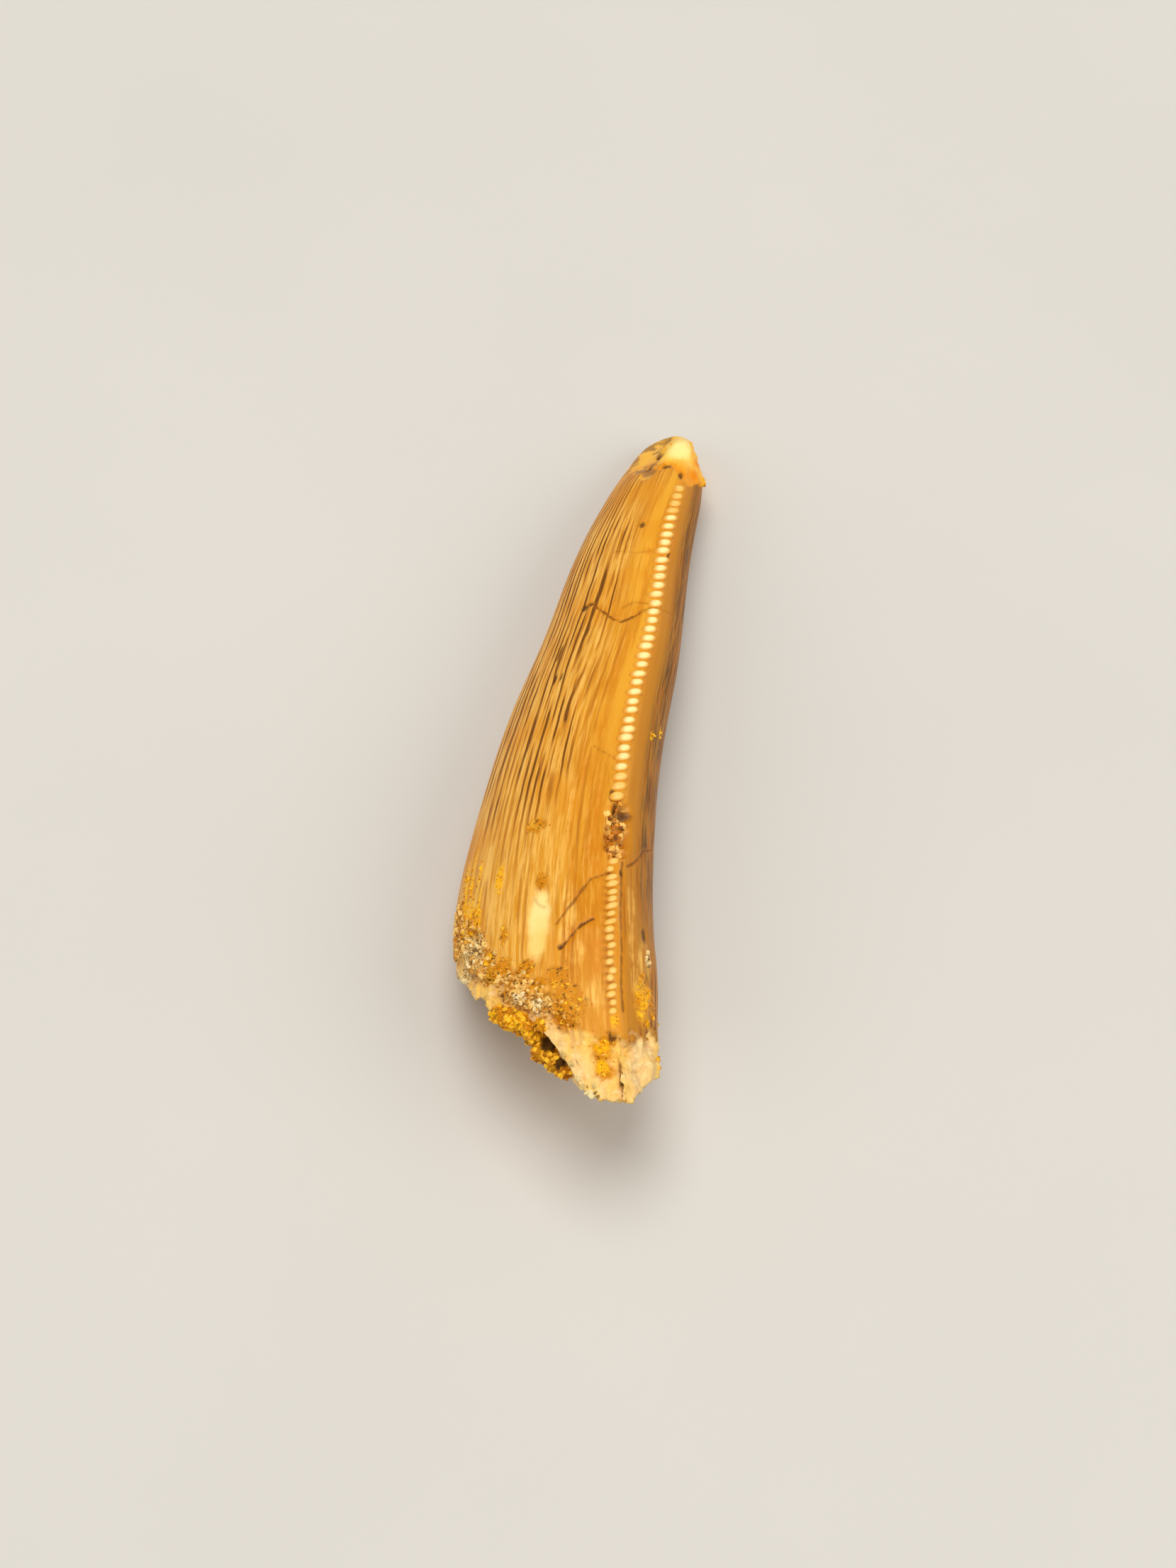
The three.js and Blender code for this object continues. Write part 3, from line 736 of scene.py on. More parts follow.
def tooth_marks(distance, angle):
    """Every mark on the tooth's outer face, by name, from 0 to 1, and the lanes of its grain."""
    places = grain_places(distance, angle)
    ragged = texture("ragged", places)
    crumbly = texture("crumbly", places)
    stray = {name: broad * ragged + fine * crumbly for name, (broad, fine) in BORDERS.items()}
    marks = {
        name: spotted(spots, distance, angle, stray[name], core) for name, (spots, core) in SPOTS.items()
    }

    past_enamel = distance - edge_at(ENAMEL_EDGE, angle) - stray["enamel"]
    bare = rising("enamel_end", past_enamel)
    reach = CRUST_REACH["least"] + CRUST_REACH["more"] * rising("crust_wide", angle) + stray["crust"]
    crust = falling("crust_top", -past_enamel - reach) * falling("crust_low", past_enamel)
    crust = crust * rising("crust_right", angle) * falling("crust_left", angle) * (1 - CRUST_ON_BARE * bare)

    wear = falling("wear_end", distance - edge_at(WEAR_EDGE, angle) - stray["wear"])
    facet = wear * rising("facet_right", angle) * falling("facet_left", angle + stray["facet_side"])
    facet = facet * falling("facet_end", distance + stray["facet_end"])

    near_chip = hump(CHIP, angle)
    chip = np.clip(1 - ((distance - CHIP["middle"] + stray["chip"]) / CHIP["half"]) ** 2, 0, 1)
    chip = chip * np.clip(
        near_chip * CHIP["fill"] + stray["chip_crumbs"] * rising("chip_near", near_chip), 0, 1
    )

    left = rising("left_top", angle) * falling("left_low", angle)
    plain = (1 - bare) * (1 - wear) * (1 - CRUST_OVER_GRAIN * crust) * (1 - chip)
    low_row = SAW_ROWS[1]
    ripple = np.cos(2 * np.pi * (distance - low_row["from"]) / low_row["pitch"])
    comb = hump(COMB, angle) * rising("comb_from", distance) * falling("comb_to", distance)
    on_right = rising("underside", angle)
    crack, crack_dark = cracked(distance, angle, stray["crack"])
    marks.update({
        "bare": bare,
        "crust": crust,
        "wear": wear,
        "facet": facet,
        # Painted highlight, only on the tip's facet.
        "facet_highlight": facet * marks["facet_highlight"],
        "chip": rising("chip", chip),
        "grain": grain_strength(distance, angle, left) * plain * (1 - marks["spall"]),
        "lanes": grain_lanes(distance, angle),
        "spall": marks["spall"] * plain,
        "pale": marks["pale"] * plain,
        "crack": crack,
        "crack_dark": crack_dark,
        "groove": comb * (0.5 - 0.5 * ripple) * (1 - bare),
        # Painted shade on the right flank beside the keel.
        "shaded_flank": falling("shaded_flank", angle) * on_right,
        "right": falling("right", angle) * on_right * (1 - RIGHT_BASE_LOSS * rising("right_base", distance)),
        "left": left * rising("left_from", distance),
        "left_tip": rising("left_tip", angle),
        "calm": hump(CALM_STRIP, angle) * falling("calm", distance),
        "keel": hump(KEEL_STRIP, angle) * rising("keel_from", distance) * (1 - bare),
        "rim": falling("rim", edge_at(BREAK_EDGE, angle) - distance) * hump(RIM_STRIP, angle),
    })
    return marks


def tooth_relief(distance, angle, marks, points):
    """How far the outer face stands out from the plain form, in millimetres."""
    steps = np.floor(TERRACES * fractal(points, **TEXTURES["terraces"])) / TERRACES - 0.5
    textures = {"lumps": texture("lumps", points), "grains": texture("grains", points), "terraces": steps}
    rough = {
        mark: sum(share * textures[name] for name, share in shares.items())
        for mark, shares in ROUGHNESS.items()
    }
    relief = RELIEF["swell"] * texture("swell", grain_places(distance, angle))
    relief = relief - GRAIN_GROOVE["depth"] * marks["grain"] * grain_grooves(distance, angle)
    relief = relief - RELIEF["crack"] * rising("crack_floor", marks["crack"]) * marks["crack_dark"]
    for name in ("spall", "groove", "dark"):
        relief = relief - RELIEF[name] * marks[name]
    relief = relief + RELIEF["yellow"] * marks["yellow"] * (textures["grains"] + 0.5)
    relief = relief + marks["crust"] * (rough["crust"] + CRUST_LIFT)
    relief = relief - marks["chip"] * (CHIP["depth"] + rough["chip"])

    tip = TIP_WEAR["depth"] * hump(TIP_WEAR, angle) - TIP_SWELL["height"] * hump(TIP_SWELL, angle)
    broken = (1 - marks["facet"]) * (1 - WEAR_CALM * rising("wear_smooth", angle))
    relief = relief - marks["wear"] * (tip - broken * rough["wear"])
    for taper in TIP_TAPERS:
        near_tip = 1 - smooth(distance, TAPER_FULL * taper["until"], taper["until"])
        relief = relief - taper["depth"] * hump(taper, angle) * near_tip

    root = ROOT_DROP - ROOT_SWELL["height"] * hump(ROOT_SWELL, angle)
    calm = 1 - ROOT_CALM * rising("root_smooth", abs(apart(angle, BREAK_MIDDLE)))
    relief = relief - marks["bare"] * (root - rough["bare"] * calm)
    at_corner = smooth(distance, CORNER_TRIM["from"], CORNER_TRIM["from"] + CORNER_TRIM["run"])
    relief = relief - CORNER_TRIM["depth"] * hump(CORNER_TRIM, angle) * at_corner
    for side in SIDE_HOLLOWS:
        along = bell((distance - side["middle"]) / side["half"])
        relief = relief - side["depth"] * hump(side, angle) * along
    return relief * rising("relief", distance)


def closed_faces(rows, columns):
    """Faces over a grid of rows and columns that closes round, with a point at each end."""
    row, column = np.meshgrid(np.arange(rows - 1), np.arange(columns), indexing="ij")
    following = (column + 1) % columns
    first = 1 + row * columns
    second = first + columns
    quads = np.stack((first + column, first + following, second + following, second + column), -1)
    ring = np.arange(columns)
    turned = (ring + 1) % columns
    last = 1 + (rows - 1) * columns
    start = np.stack((np.zeros_like(ring), 1 + turned, 1 + ring), -1)
    end = np.stack((last + ring, last + turned, np.full_like(ring, last + columns)), -1)
    return quads.reshape(-1, 4).tolist() + start.tolist() + end.tolist()


def unit(vectors):
    """Vectors of length 1, or none where there is no direction."""
    return vectors / np.maximum(np.linalg.norm(vectors, axis=-1, keepdims=True), TINY)


def grid_normals(points):
    """Unit normals of a grid of points that closes round its columns, pointing out."""
    down = np.gradient(points, axis=0)
    around = np.roll(points, -1, axis=1) - np.roll(points, 1, axis=1)
    return unit(np.cross(around, down))


def add_mark(mesh, name, values):
    """Keeps one number or one vector for each point of a mesh."""
    vector = values.ndim == 2
    attribute = mesh.attributes.new(name, "FLOAT_VECTOR" if vector else "FLOAT", "POINT")
    attribute.data.foreach_set("vector" if vector else "value", values.ravel())


def mark_values(mesh, name):
    values = np.empty(len(mesh.vertices))
    mesh.attributes[name].data.foreach_get("value", values)
    return values


def mesh_of(name, points, faces, marks):
    """A smooth mesh in metres, with its marks as attributes."""
    mesh = bpy.data.meshes.new(name)
    mesh.from_pydata((points * MM).tolist(), [], faces)
    mesh.polygons.foreach_set("use_smooth", [True] * len(mesh.polygons))
    for mark, values in marks.items():
        add_mark(mesh, mark, values)
    mesh.validate()
    return mesh


def show(name, mesh, finish=None):
    """An object in the scene, with its finish if it has one."""
    piece = bpy.data.objects.new(name, mesh)
    bpy.context.scene.collection.objects.link(piece)
    if finish:
        mesh.materials.clear()
        mesh.materials.append(finish)
    return piece


def with_ends(values):
    """Values of the tooth's grid with those of the points at its two ends."""
    return np.concatenate((values[:1], values, values[-1:]))


def tooth_mesh():
    """The whole tooth in one closed skin: crown, bare root, break and hollow."""
    angles = COLUMN_ANGLES[None, :]
    edge = break_distance(angles)
    tip = TIP_ROWS_END * (np.arange(1, TIP_ROWS + 1) / TIP_ROWS) ** TIP_ROWS_POWER
    crown = np.linspace(TIP_ROWS_END, CROWN_ROWS_END, CROWN_ROWS + 1)[1:]
    root = np.linspace(0, 1, ROOT_ROWS + 1)[1:, None]
    outer = np.concatenate((
        np.repeat(np.concatenate((tip, crown))[:, None], angles.size, axis=1),
        CROWN_ROWS_END + (edge - CROWN_ROWS_END) * root,
    ))
    outer_angle = np.broadcast_to(angles, outer.shape)
    outer_points = place(outer, outer_angle, outer_radius(outer, outer_angle))
    marks = tooth_marks(outer, outer_angle)
    relief = tooth_relief(outer, outer_angle, marks, outer_points)
    outer_points = outer_points + grid_normals(outer_points) * relief[..., None]

    rim = outer_points[-1]
    mouth = edge - BREAK_UNDERCUT
    inward = np.linspace(0, 1, FACE_ROWS + 1)[1:, None]
    face = edge + (mouth - edge) * inward
    face_points = rim + (place(mouth, angles, hollow_radius(mouth, angles)) - rim) * inward[..., None]
    deeper = np.linspace(0, 1, HOLLOW_ROWS + 1)[1:-1, None]
    hollow = mouth + (HOLLOW_BOTTOM - mouth) * deeper
    hollow_angle = np.broadcast_to(angles, hollow.shape)
    hollow_points = place(hollow, hollow_angle, hollow_radius(hollow, hollow_angle))
    inner = np.concatenate((face, hollow))
    inner_angle = np.broadcast_to(angles, inner.shape)
    inner_points = np.concatenate((face_points, hollow_points))
    inner_relief = HOLLOW_DEPTH * texture("hollow", inner_points)
    inner_relief[:FACE_ROWS] = inner_relief[:FACE_ROWS] * rising("face_relief", inward)
    inner_points = inner_points + grid_normals(inner_points) * inner_relief[..., None]

    points = np.concatenate((outer_points, inner_points))
    lowest = np.concatenate((
        np.zeros(len(outer)), FACE_RISE * inward[:, 0], np.full(len(hollow), FACE_RISE),
    ))
    points[..., 2] = np.maximum(points[..., 2], lowest[:, None])
    everything = np.concatenate((axis_point(0.0), points.reshape(-1, 3), axis_point(HOLLOW_BOTTOM)))

    inside = {"bare": np.ones(inner.shape)}
    attributes = {}
    for name, values in marks.items():
        below = inside.get(name, np.zeros(inner.shape))
        attributes[name] = with_ends(np.concatenate((values, below)).ravel())
    grain = grain_places(np.concatenate((outer, inner)), np.concatenate((outer_angle, inner_angle)))
    grain = np.pad(grain.reshape(-1, 2), ((0, 0), (0, 1)))
    attributes["grain_place"] = with_ends(grain)
    return mesh_of("tooth_skin", everything, closed_faces(*points.shape[:2]), attributes)


class Link:
    """A node's output that takes part in sums, with its Math nodes added as they are needed."""

    def __init__(self, graph, socket):
        self.graph = graph
        self.socket = socket

    def math(self, operation, first, second):
        return self.graph.node("ShaderNodeMath", {"operation": operation}, {0: first, 1: second})

    def __add__(self, other):
        return self.math("ADD", self, other)

    def __sub__(self, other):
        return self.math("SUBTRACT", self, other)

    def __rsub__(self, other):
        return self.math("SUBTRACT", other, self)

    def __mul__(self, other):
        return self.math("MULTIPLY", self, other)

    __radd__ = __add__
    __rmul__ = __mul__


class Graph:
    """Adds nodes to one tree."""

    def __init__(self, tree):
        self.tree = tree

    def node(self, kind, settings=None, inputs=None, output=0):
        made = self.tree.nodes.new(kind)
        for name, value in (settings or {}).items():
            setattr(made, name, value)
        for name, value in (inputs or {}).items():
            if isinstance(value, Link):
                self.tree.links.new(value.socket, made.inputs[name])
            else:
                made.inputs[name].default_value = value
        return Link(self, made.outputs[output] if len(made.outputs) else None)


def tone(red, green, blue):
    """A colour for a shader from red, green and blue as a screen shows them, 0 to 255."""
    linear = []
    for value in (red, green, blue):
        share = value / 255
        linear.append(share / 12.92 if share <= 0.04045 else ((share + 0.055) / 1.055) ** 2.4)
    return (*linear, 1.0)


class Finish(Graph):
    """One material, made from patterns in the solid and from the marks of its mesh."""

    def __init__(self, name, patterns):
        self.material = bpy.data.materials.new(name)
        self.material.use_nodes = True
        self.material.node_tree.nodes.clear()
        super().__init__(self.material.node_tree)
        solid = self.node("ShaderNodeTexCoord", output="Object")
        self.values = {title: self.noise(solid, *pattern) for title, pattern in patterns.items()}

    def value(self, name):
        """A pattern of this finish or a mark of the mesh, by name."""
        if name not in self.values:
            self.values[name] = self.node("ShaderNodeAttribute", {"attribute_name": name}, output="Fac")
        return self.values[name]

    def mix(self, first, second, share):
        return self.node("ShaderNodeMix", {"data_type": "RGBA"}, {0: share, 6: first, 7: second}, output=2)

    def step(self, value, low, high):
        sockets = {"Value": value, "From Min": low, "From Max": high}
        return self.node("ShaderNodeMapRange", {"interpolation_type": "SMOOTHSTEP"}, sockets)

    def noise(self, vector, scale, detail, roughness):
        sockets = {"Vector": vector, "Scale": scale, "Detail": detail, "Roughness": roughness}
        return self.node("ShaderNodeTexNoise", {"noise_dimensions": "3D"}, sockets, output="Fac")

    def grain_noise(self, grain_place, pace, detail, roughness):
        """Noise that is drawn out along the grain."""
        drawn = self.node("ShaderNodeVectorMath", {"operation": "MULTIPLY"}, {0: grain_place, 1: pace})
        return self.noise(drawn, 1.0, detail, roughness)

    def grain_lines(self, lanes, along, layer):
        """Thin lines that start and end, one to a lane."""
        lane = lanes * (1 / layer["pitch"])
        line = self.node("ShaderNodeMath", {"operation": "FLOOR"}, {0: lane})
        aside = lane - line - 0.5
        sockets = {"X": line * LINE_SPREAD, "Y": along * (1 / layer["length"])}
        own = self.node("ShaderNodeCombineXYZ", {}, sockets)
        presence = self.step(self.noise(own, 1.0, 1.0, 0.5), layer["from"], layer["full"])
        return self.step(aside * aside, layer["width"] ** 2, 0.0) * presence * layer["strength"]

    def covered(self, layer):
        """How far a coat covers what lies below it."""
        share = layer["cover"]
        for name, (low, high) in layer["where"].items():
            share = self.step(self.value(name), low, high) * share
        for name in layer["follows"]:
            share = self.value(name) * share
        return share

    def coated(self, coats):
        """The colour of coats that lie over each other."""
        colour = None
        for layer in coats:
            own = layer["colour"]
            own = self.coated(own) if isinstance(own[0], dict) else tone(*own)
            colour = self.mix(colour, own, self.covered(layer)) if colour else own
        return colour

    def surface(self, colour, roughness, height, depth, fixed):
        """The shader, from its colour, roughness, bump height, bump depth in metres and fixed sockets."""
        bump = self.node("ShaderNodeBump", {}, {"Height": height, "Distance": depth, "Strength": 1.0})
        sockets = {"Base Color": colour, "Roughness": roughness, "Normal": bump, **fixed}
        shader = self.node("ShaderNodeBsdfPrincipled", {}, sockets)
        self.node("ShaderNodeOutputMaterial", {}, {"Surface": shader})
        return self.material


def enamel_finish():
    """Golden fossil enamel with brown grain, stains, bare dentine and the worn tip."""
    finish = Finish("enamel", ENAMEL_PATTERNS)
    grain_place = finish.node("ShaderNodeAttribute", {"attribute_name": "grain_place"}, output="Vector")
    for name, pattern in GRAIN_PATTERNS.items():
        finish.values[name] = finish.grain_noise(grain_place, *pattern)
    along = finish.node("ShaderNodeSeparateXYZ", {}, {"Vector": grain_place}, output="Y")
    broad, fine = (finish.grain_lines(finish.value("lanes"), along, layer) for layer in GRAIN_LINES)
    lines = finish.value("grain") * (1.0 - (1.0 - broad) * (1.0 - fine))
    finish.values["lines"] = lines
    finish.values["lively"] = 1.0 - finish.value("calm")
    finish.values["crack_core"] = finish.value("crack") + 0.5 * finish.value("crumbs")
    colour = finish.coated(ENAMEL_COATS)
    bare, crust = finish.value("bare"), finish.value("crust")
    rough = 0.4 + 0.16 * lines + 0.2 * bare + 0.3 * crust - 0.22 * finish.value("facet")
    height = 0.5 * finish.value("fibres") + 0.2 * finish.value("threads") - 0.3 * lines
    height = height + 0.5 * finish.value("grit") * (bare + crust)
    return finish.surface(colour, rough, height, BUMP["enamel"], ENAMEL_SOCKETS)


def saw_tooth_finish():
    """Pale translucent enamel of the saw teeth, with a painted highlight on the top of each bead."""
    finish = Finish("saw_tooth_enamel", SAW_PATTERNS)
    clouds = finish.value("clouds")
    return finish.surface(finish.coated(SAW_COATS), 0.3 + 0.1 * clouds, clouds, BUMP["saw"], SAW_SOCKETS)


def sediment_finish():
    """Ochre clay with darker pores, and painted shade on its lower lumps and in its pits."""
    finish = Finish("ochre_sediment", SEDIMENT_PATTERNS)
    rough = 0.85 + 0.1 * finish.value("clouds")
    colour = finish.coated(SEDIMENT_COATS)
    return finish.surface(colour, rough, finish.value("crumbs"), BUMP["sediment"], SEDIMENT_SOCKETS)


def grain_finish(name, dark, middle, pale):
    """Loose grains, each with its own tint between three tones."""
    finish = Finish(name, GRAIN_PIECE_PATTERNS)
    clouds = finish.value("clouds")
    colour = finish.coated((
        coat(dark),
        coat(middle, tint=(0.1, 0.5)),
        coat(pale, tint=(0.5, 0.95)),
        coat(dark, clouds=(0.55, 0.75), cover=0.5),
    ))
    return finish.surface(colour, 0.45 + 0.4 * clouds, clouds, BUMP["grain"], {})


class Rule(Graph):
    """A Geometry Nodes tree with named inputs, from a geometry to a geometry with one material."""

    KINDS = {"length": "NodeSocketFloat", "count": "NodeSocketInt", "finish": "NodeSocketMaterial"}

    def __init__(self, name, inputs):
        super().__init__(bpy.data.node_groups.new(name, "GeometryNodeTree"))
        face = self.tree.interface
        face.new_socket(name="Geometry", in_out="INPUT", socket_type="NodeSocketGeometry")
        for title, kind in inputs.items():
            face.new_socket(name=title, in_out="INPUT", socket_type=self.KINDS[kind])
        face.new_socket(name="Geometry", in_out="OUTPUT", socket_type="NodeSocketGeometry")
        self.start = self.tree.nodes.new("NodeGroupInput")

    def given(self, name):
        return Link(self, self.start.outputs[name])

    def named(self, name, kind):
        return self.node("GeometryNodeInputNamedAttribute", {"data_type": kind}, {"Name": name})

    def random(self, low, high, seed):
        sockets = {2: low, 3: high, "Seed": seed}
        return self.node("FunctionNodeRandomValue", {"data_type": "FLOAT"}, sockets, output=1)

    def random_vector(self, low, high, seed):
        sockets = {0: low, 1: high, "Seed": seed}
        return self.node("FunctionNodeRandomValue", {"data_type": "FLOAT_VECTOR"}, sockets)

    def scaled(self, vector, scale):
        return self.node("ShaderNodeVectorMath", {"operation": "SCALE"}, {0: vector, "Scale": scale})

    def stored(self, geometry, domain, name, value):
        settings = {"data_type": "FLOAT", "domain": domain}
        sockets = {"Geometry": geometry, "Name": name, "Value": value}
        return self.node("GeometryNodeStoreNamedAttribute", settings, sockets)

    def dented(self, geometry, depth):
        """A mesh with its points pushed about by up to half a depth in metres."""
        swirl = self.node("ShaderNodeTexNoise", {}, GRAIN_SWIRL, output="Color")
        settings = {"operation": "SUBTRACT"}
        centred = self.node("ShaderNodeVectorMath", settings, {0: swirl, 1: (0.5, 0.5, 0.5)})
        sockets = {"Geometry": geometry, "Offset": self.scaled(centred, depth)}
        return self.node("GeometryNodeSetPosition", {}, sockets)

    def end(self, geometry, uneven=0.0):
        """Makes one mesh of all instances, with its material: smooth, or dented by a depth in metres."""
        whole = self.node("GeometryNodeRealizeInstances", {}, {"Geometry": geometry})
        if uneven:
            whole = self.dented(whole, uneven)
        sockets = {"Geometry": whole, "Shade Smooth": not uneven}
        shaded = self.node("GeometryNodeSetShadeSmooth", {}, sockets)
        sockets = {"Geometry": shaded, "Material": self.given("Finish")}
        self.node("NodeGroupOutput", {}, {"Geometry": self.node("GeometryNodeSetMaterial", {}, sockets)})


def made_by(rule, name, mesh, values):
    """The piece that a rule makes from a mesh, as a plain mesh of its own."""
    holder = show(name, mesh)
    modifier = holder.modifiers.new("rule", "NODES")
    modifier.node_group = rule.tree
    for item in rule.tree.interface.items_tree:
        if item.in_out == "INPUT" and item.name in values:
            modifier[item.identifier] = values[item.name]
    graph = bpy.context.evaluated_depsgraph_get()
    made = bpy.data.meshes.new_from_object(holder.evaluated_get(graph))
    holder.modifiers.clear()
    holder.data = made
    made.name = name
    return holder


def saw_rule():
    """One bead at every point, set across the keel."""
    rule = Rule("saw_teeth", {"Segments": "count", "Rings": "count", "Finish": "finish"})
    bead = rule.node("GeometryNodeMeshUVSphere", {}, {
        "Segments": rule.given("Segments"), "Rings": rule.given("Rings"), "Radius": 1.0,
    })
    spot = rule.node("GeometryNodeInputPosition")
    # The height on each bead places a painted highlight on its top; its side places the fade at its ends.
    for name, axis in (("crest", "Z"), ("aside", "X")):
        share = rule.node("ShaderNodeSeparateXYZ", {}, {"Vector": spot}, output=axis)
        bead = rule.stored(bead, "POINT", name, share)
    outward = rule.node("FunctionNodeAlignRotationToVector", {"axis": "Z"}, {
        "Vector": rule.named("outward", "FLOAT_VECTOR"),
    })
    turned = rule.node("FunctionNodeAlignRotationToVector", {"axis": "Y", "pivot_axis": "Z"}, {
        "Rotation": outward, "Vector": rule.named("along", "FLOAT_VECTOR"),
    })
    beads = rule.node("GeometryNodeInstanceOnPoints", {}, {
        "Points": rule.given("Geometry"), "Instance": bead, "Rotation": turned,
        "Scale": rule.named("half_size", "FLOAT_VECTOR"),
    })
    rule.end(beads)
    return rule


def grain_rule():
    """Grains scattered over a mesh where its mark is strong."""
    rule = Rule("grains", {
        "Spacing": "length", "Most": "length", "Smallest": "length", "Largest": "length",
        "Roundness": "count", "Seed": "count", "Finish": "finish",
    })
    seed = rule.given("Seed")
    points = rule.node("GeometryNodeDistributePointsOnFaces", {"distribute_method": "POISSON"}, {
        "Mesh": rule.given("Geometry"), "Distance Min": rule.given("Spacing"),
        "Density Max": rule.given("Most"), "Density Factor": rule.named("grains", "FLOAT"), "Seed": seed,
    })
    chance = rule.random(0.0, 1.0, seed)
    size = rule.given("Smallest") + (rule.given("Largest") - rule.given("Smallest")) * chance * chance
    stretch = rule.scaled(rule.random_vector(*GRAIN_SQUASH, seed), size)
    grain = rule.node("GeometryNodeMeshIcoSphere", {}, {
        "Radius": 1.0, "Subdivisions": rule.given("Roundness"),
    })
    grains = rule.node("GeometryNodeInstanceOnPoints", {}, {
        "Points": points, "Instance": grain, "Scale": stretch,
        "Rotation": rule.random_vector(*GRAIN_TURN, seed),
    })
    rule.end(rule.stored(grains, "INSTANCE", "tint", rule.random(0.0, 1.0, seed)), uneven=GRAIN_UNEVEN)
    return rule


def saw_points():
    """Places, directions, sizes and tints of the saw teeth."""
    chance = np.random.default_rng(SAW_SEED)
    columns = {"points": [], "outward": [], "along": [], "half_size": [], "tint": []}

    def on_keel(distance, angle):
        return place(distance, angle, outer_radius(distance, angle) - SAW_SINK)

    for row in SAW_ROWS:
        distances = np.arange(row["from"], row["to"], row["pitch"])
        count = distances.size
        distances = distances + chance.uniform(-SAW_STRAY, SAW_STRAY, count)
        keel = REAR_KEEL["angle"] + SAW_SIDE + SAW_TIP_TURN * falling("saw_turn", distances)
        keel = keel + chance.uniform(-row["scatter"], row["scatter"], count)
        here = on_keel(distances, keel)
        run = on_keel(distances + LOOK_AHEAD, keel) - here
        outward = unit(np.cross(run, here - on_keel(distances, keel + LOOK_BESIDE)))
        worn = rising("saw_worn", distances)
        narrow = growing(SAW_TIP_WIDTH, "saw_width", distances)
        narrow = narrow * chance.uniform(1 - row["uneven"], 1 + row["uneven"], count)
        faint = growing(SAW_TIP_HEIGHT, "saw_height", distances) * (1 - SAW_WORN_HEIGHT * worn)
        length = row["pitch"] * SAW_ALONG * chance.uniform(*SAW_ALONG_SPREAD, count)
        sizes = (row["half"] * narrow, length, row["height"] * narrow * faint)
        dull = SAW_DULL["tip"] * falling("saw_dull_tip", distances)
        dull = dull + SAW_DULL["base"] * rising("saw_dull_base", distances)
        dull = dull + SAW_DULL["worn"] * worn * falling("saw_worn_end", distances)
        columns["points"].append(here)
        columns["outward"].append(outward)
        columns["along"].append(unit(run - SAW_LEAN * np.cross(run, outward)))
        columns["half_size"].append(np.stack(sizes, -1) * MM)
        columns["tint"].append(np.clip(SAW_DULL["chance"] * chance.random(count) + dull, 0, 1))
    whole = {name: np.concatenate(parts) for name, parts in columns.items()}
    return mesh_of("saw_places", whole.pop("points"), [], whole)


def middles(lumps):
    """The middle points of lumps or pits."""
    distance, angle, share, _ = np.array(lumps).T
    return place(distance, angle, share * outer_radius(distance, angle))


def fill_part():
    """Points and faces of the plain fill of the hollow, with its dished face."""
    angles = np.arange(0, 360, 360 / FILL_COLUMNS)[None, :]
    spill = np.exp(-((apart(angles, SPILL["angle"]) / SPILL["half"]) ** SPILL["power"]))
    edge = np.minimum(break_distance(angles) - FILL_SINK, FILL_LIMIT) + spill * SPILL["over"]
    radius = (FILL_SHARE + SPILL["share"] * spill) * outer_radius(edge, angles)
    side = np.linspace(FILL_SIDE_FROM, 1, FILL_SIDE_ROWS)[:, None]
    inward = np.linspace(0, 1, FILL_ROWS + 1)[1:-1, None]
    depth = np.concatenate((
        FILL_BOTTOM + (edge - FILL_BOTTOM) * side,
        edge + (FILL_MIDDLE - edge) * inward**FILL_DISH,
    ))
    reach = np.concatenate((radius * np.sqrt(side), radius * (1 - inward)))
    grid = place(depth, np.broadcast_to(angles, depth.shape), reach)
    points = np.concatenate((axis_point(FILL_BOTTOM), grid.reshape(-1, 3), axis_point(FILL_MIDDLE)))
    return points, closed_faces(*grid.shape[:2])


def lump_parts():
    """Points and faces of a ball for each lump."""
    turns = BALL_TURNS[None, :]
    rings = BALL_RINGS[:, None]
    ball = (np.cos(turns) * np.cos(rings), np.sin(turns) * np.cos(rings), np.sin(rings))
    ball = np.stack(np.broadcast_arrays(*ball), -1)
    points = np.concatenate(([[0, 0, 1]], ball.reshape(-1, 3), [[0, 0, -1]]))
    faces = closed_faces(*ball.shape[:2])
    radii = [radius for _, _, _, radius in SEDIMENT_LUMPS]
    return [(points * radius + middle, faces) for middle, radius in zip(middles(SEDIMENT_LUMPS), radii)]


def one_skin(parts):
    """One mesh round all parts."""
    points = []
    faces = []
    for part_points, part_faces in parts:
        start = sum(len(done) for done in points)
        points.append(part_points)
        faces += [[corner + start for corner in face] for face in part_faces]
    holder = show("sediment_rough", mesh_of("sediment_rough", np.concatenate(points), faces, {}))
    remesh = holder.modifiers.new("one_skin", "REMESH")
    remesh.mode = "VOXEL"
    remesh.voxel_size = VOXEL * MM
    mesh = bpy.data.meshes.new_from_object(holder.evaluated_get(bpy.context.evaluated_depsgraph_get()))
    bpy.data.objects.remove(holder)
    return mesh


